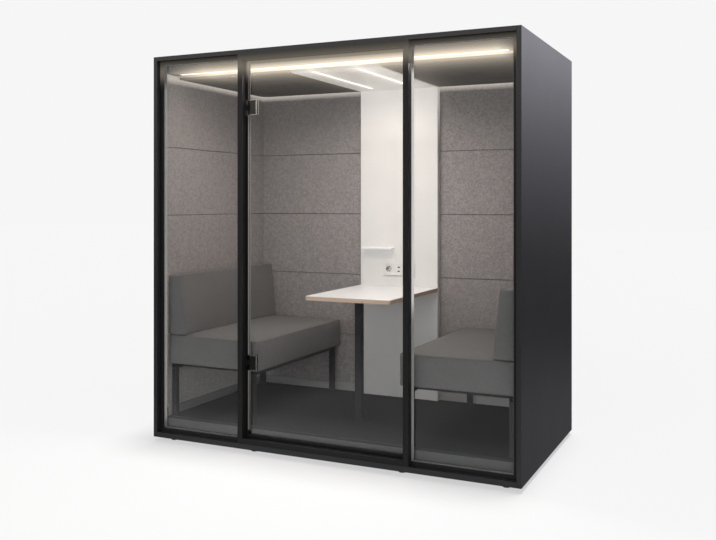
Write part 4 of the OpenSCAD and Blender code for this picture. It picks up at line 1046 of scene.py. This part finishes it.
def fillCushion(piece, held):
    start = [vert.co.copy() for vert in piece.data.vertices]
    group = piece.vertex_groups.new(name="held")
    for index, weight in enumerate(held):
        group.add([index], weight, "REPLACE")
    cloth = piece.modifiers.new("filling", "CLOTH")
    cloth.settings.use_pressure = True
    cloth.settings.uniform_pressure_force = cushionSet["pressure"]
    cloth.settings.effector_weights.gravity = 0.0
    cloth.settings.vertex_group_mass = "held"
    cloth.point_cache.frame_start = 1
    cloth.point_cache.frame_end = cushionSet["frames"]
    for step in range(1, cushionSet["frames"] + 1):
        scene.frame_set(step)
    filled = piece.evaluated_get(bpy.context.evaluated_depsgraph_get()).data
    moved = [vert.co.copy() for vert in filled.vertices]
    piece.modifiers.remove(cloth)
    piece.vertex_groups.clear()
    for vert, old, new in zip(piece.data.vertices, start, moved):
        shift = new - old
        if shift.length > cushionSet["cap"]:
            shift = shift.normalized() * cushionSet["cap"]
        vert.co = old + shift
    scene.frame_set(1)


def smoothCushion(piece):
    bm = bmesh.new()
    bm.from_mesh(piece.data)
    bmesh.ops.smooth_vert(bm, verts=bm.verts, factor=cushionSet["smooth"],
                          use_axis_x=True, use_axis_y=True, use_axis_z=True)
    bm.to_mesh(piece.data)
    bm.free()


def clothMap(piece):
    layer = piece.data.uv_layers.new(name="cloth")
    planes = {0: (1, 2), 1: (0, 2), 2: (0, 1)}
    for face in piece.data.polygons:
        size = [abs(part) for part in face.normal]
        first, second = planes[size.index(max(size))]
        for corner in face.loop_indices:
            place = piece.data.vertices[piece.data.loops[corner].vertex_index].co
            layer.data[corner].uv = (place[first], place[second])


def mirroredPiece(piece, name):
    bm = bmesh.new()
    bm.from_mesh(piece.data)
    bmesh.ops.scale(bm, vec=(-1.0, 1.0, 1.0), verts=bm.verts)
    bmesh.ops.reverse_faces(bm, faces=bm.faces)
    twin = addPiece(name, bm)
    twin.data.materials.append(finishes["seat_fabric"])
    return twin


def smoothFaces(piece):
    for face in piece.data.polygons:
        face.use_smooth = True


def settleCushion(piece, node):
    smoothFaces(piece)
    finer = piece.modifiers.new("finer", "SUBSURF")
    finer.levels = 1
    finer.render_levels = 1
    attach(piece, "pod")
    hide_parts(node)


def settlePiping(piece):
    smoothFaces(piece)
    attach(piece, "pod")


def seatShape(place, low, high):
    # sides draw in between the corners
    middle = (low + high) / 2
    half = (high - low) / 2
    share = [(place[i] - middle[i]) / half[i] for i in range(3)]
    place.x -= share[0] * (1.0 - share[1] ** 2) * cushionSet["draw"]
    place.y -= share[1] * (1.0 - share[0] ** 2) * cushionSet["draw"]


def backShape(place, low, high):
    # the back thins towards its upper edge
    depth = high.x - low.x
    rise = (place.z - low.z) / (high.z - low.z)
    slim = 1.0 + rise * (cushionSet["backTop"] / depth - 1.0)
    place.x = high.x - (high.x - place.x) * slim


def ringPath(low, high, flat, level):
    # a loop round the box on its rounded edge; flat is the axis that the loop stands square to
    one, two = [i for i in range(3) if i != flat]
    bend = cushionSet["edge"] - seamInset
    steps = cushionSet["cornerSteps"]
    path = []
    corners = [(1, 1, 0), (0, 1, 90), (0, 0, 180), (1, 0, 270)]
    for atOne, atTwo, turn in corners:
        centreOne = (high[one] - seamInset - bend) if atOne else (low[one] + seamInset + bend)
        centreTwo = (high[two] - seamInset - bend) if atTwo else (low[two] + seamInset + bend)
        for step in range(steps + 1):
            angle = radians(turn + 90 * step / steps)
            place = Vector((0, 0, 0))
            place[flat] = level
            place[one] = centreOne + bend * cos(angle)
            place[two] = centreTwo + bend * sin(angle)
            path.append(place)
    return path


def densePath(path, step):
    dense = []
    for here, there in zip(path, path[1:] + path[:1]):
        count = max(1, round((there - here).length / step))
        dense += [here.lerp(there, i / count) for i in range(count)]
    return dense


def pipeAlong(name, cushion, rings, shape, low, high):
    curve = bpy.data.curves.new(name, "CURVE")
    curve.dimensions = "3D"
    curve.bevel_depth = cushionSet["pipe"]
    curve.bevel_resolution = cushionSet["pipeRound"]
    lift = cushionSet["pipe"] * cushionSet["pipeLift"]
    for ring in rings:
        places = densePath(ring, cushionSet["pipeStep"])
        spline = curve.splines.new("POLY")
        spline.points.add(len(places) - 1)
        spline.use_cyclic_u = True
        for knot, place in zip(spline.points, places):
            shape(place, low, high)
            _, spot, normal, _ = cushion.closest_point_on_mesh(place)
            knot.co = (*(spot + normal * lift), 1.0)
    holder = bpy.data.objects.new(name, curve)
    scene.collection.objects.link(holder)
    mesh = bpy.data.meshes.new_from_object(holder.evaluated_get(bpy.context.evaluated_depsgraph_get()))
    bpy.data.objects.remove(holder)
    piece = bpy.data.objects.new(name, mesh)
    scene.collection.objects.link(piece)
    mesh.materials.clear()
    mesh.materials.append(finishes["seat_fabric"])
    return piece


def heldPoints(piece, low, high, footAxis, footAtHigh):
    # the seams and the side that lies on the bench stay where they are
    held = []
    for vert in piece.data.vertices:
        reach = sorted(min(vert.co[i] - low[i], high[i] - vert.co[i]) for i in range(3))
        foot = (high[footAxis] - vert.co[footAxis]) if footAtHigh else (vert.co[footAxis] - low[footAxis])
        onEdge = reach[1] < cushionSet["held"]
        held.append(1.0 if onEdge or foot < cushionSet["footHeld"] else 0.0)
    return held


def makeCushion(label, node, shape, footAxis, footAtHigh):
    low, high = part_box(node)
    if footAtHigh:
        low[footAxis] += cushionSet["crown"]
    else:
        high[footAxis] -= cushionSet["crown"]
    piece = addPiece("right" + label, roundedBox(low, high))
    remeshed(piece)
    held = heldPoints(piece, low, high, footAxis, footAtHigh)
    for vert in piece.data.vertices:
        shape(vert.co, low, high)
    fillCushion(piece, held)
    smoothCushion(piece)
    piece.data.materials.clear()
    piece.data.materials.append(finishes["seat_fabric"])
    clothMap(piece)
    levels = [low[footAxis] + seamInset, high[footAxis] - seamInset]
    rings = [ringPath(low, high, footAxis, level) for level in levels]
    bpy.context.view_layer.update()
    piping = pipeAlong("right" + label + "Piping", piece, rings, shape, low, high)
    clothMap(piping)
    twin = mirroredPiece(piece, "left" + label)
    twinPiping = mirroredPiece(piping, "left" + label + "Piping")
    settleCushion(piece, node)
    settleCushion(twin, node.replace("right", "left"))
    settlePiping(piping)
    settlePiping(twinPiping)
    print(label, "made with", len(piece.data.vertices), "points")


makeCushion("SeatCushion", "right_seat_cushion", seatShape, 2, False)
makeCushion("BackCushion", "right_back_cushion", backShape, 0, True)
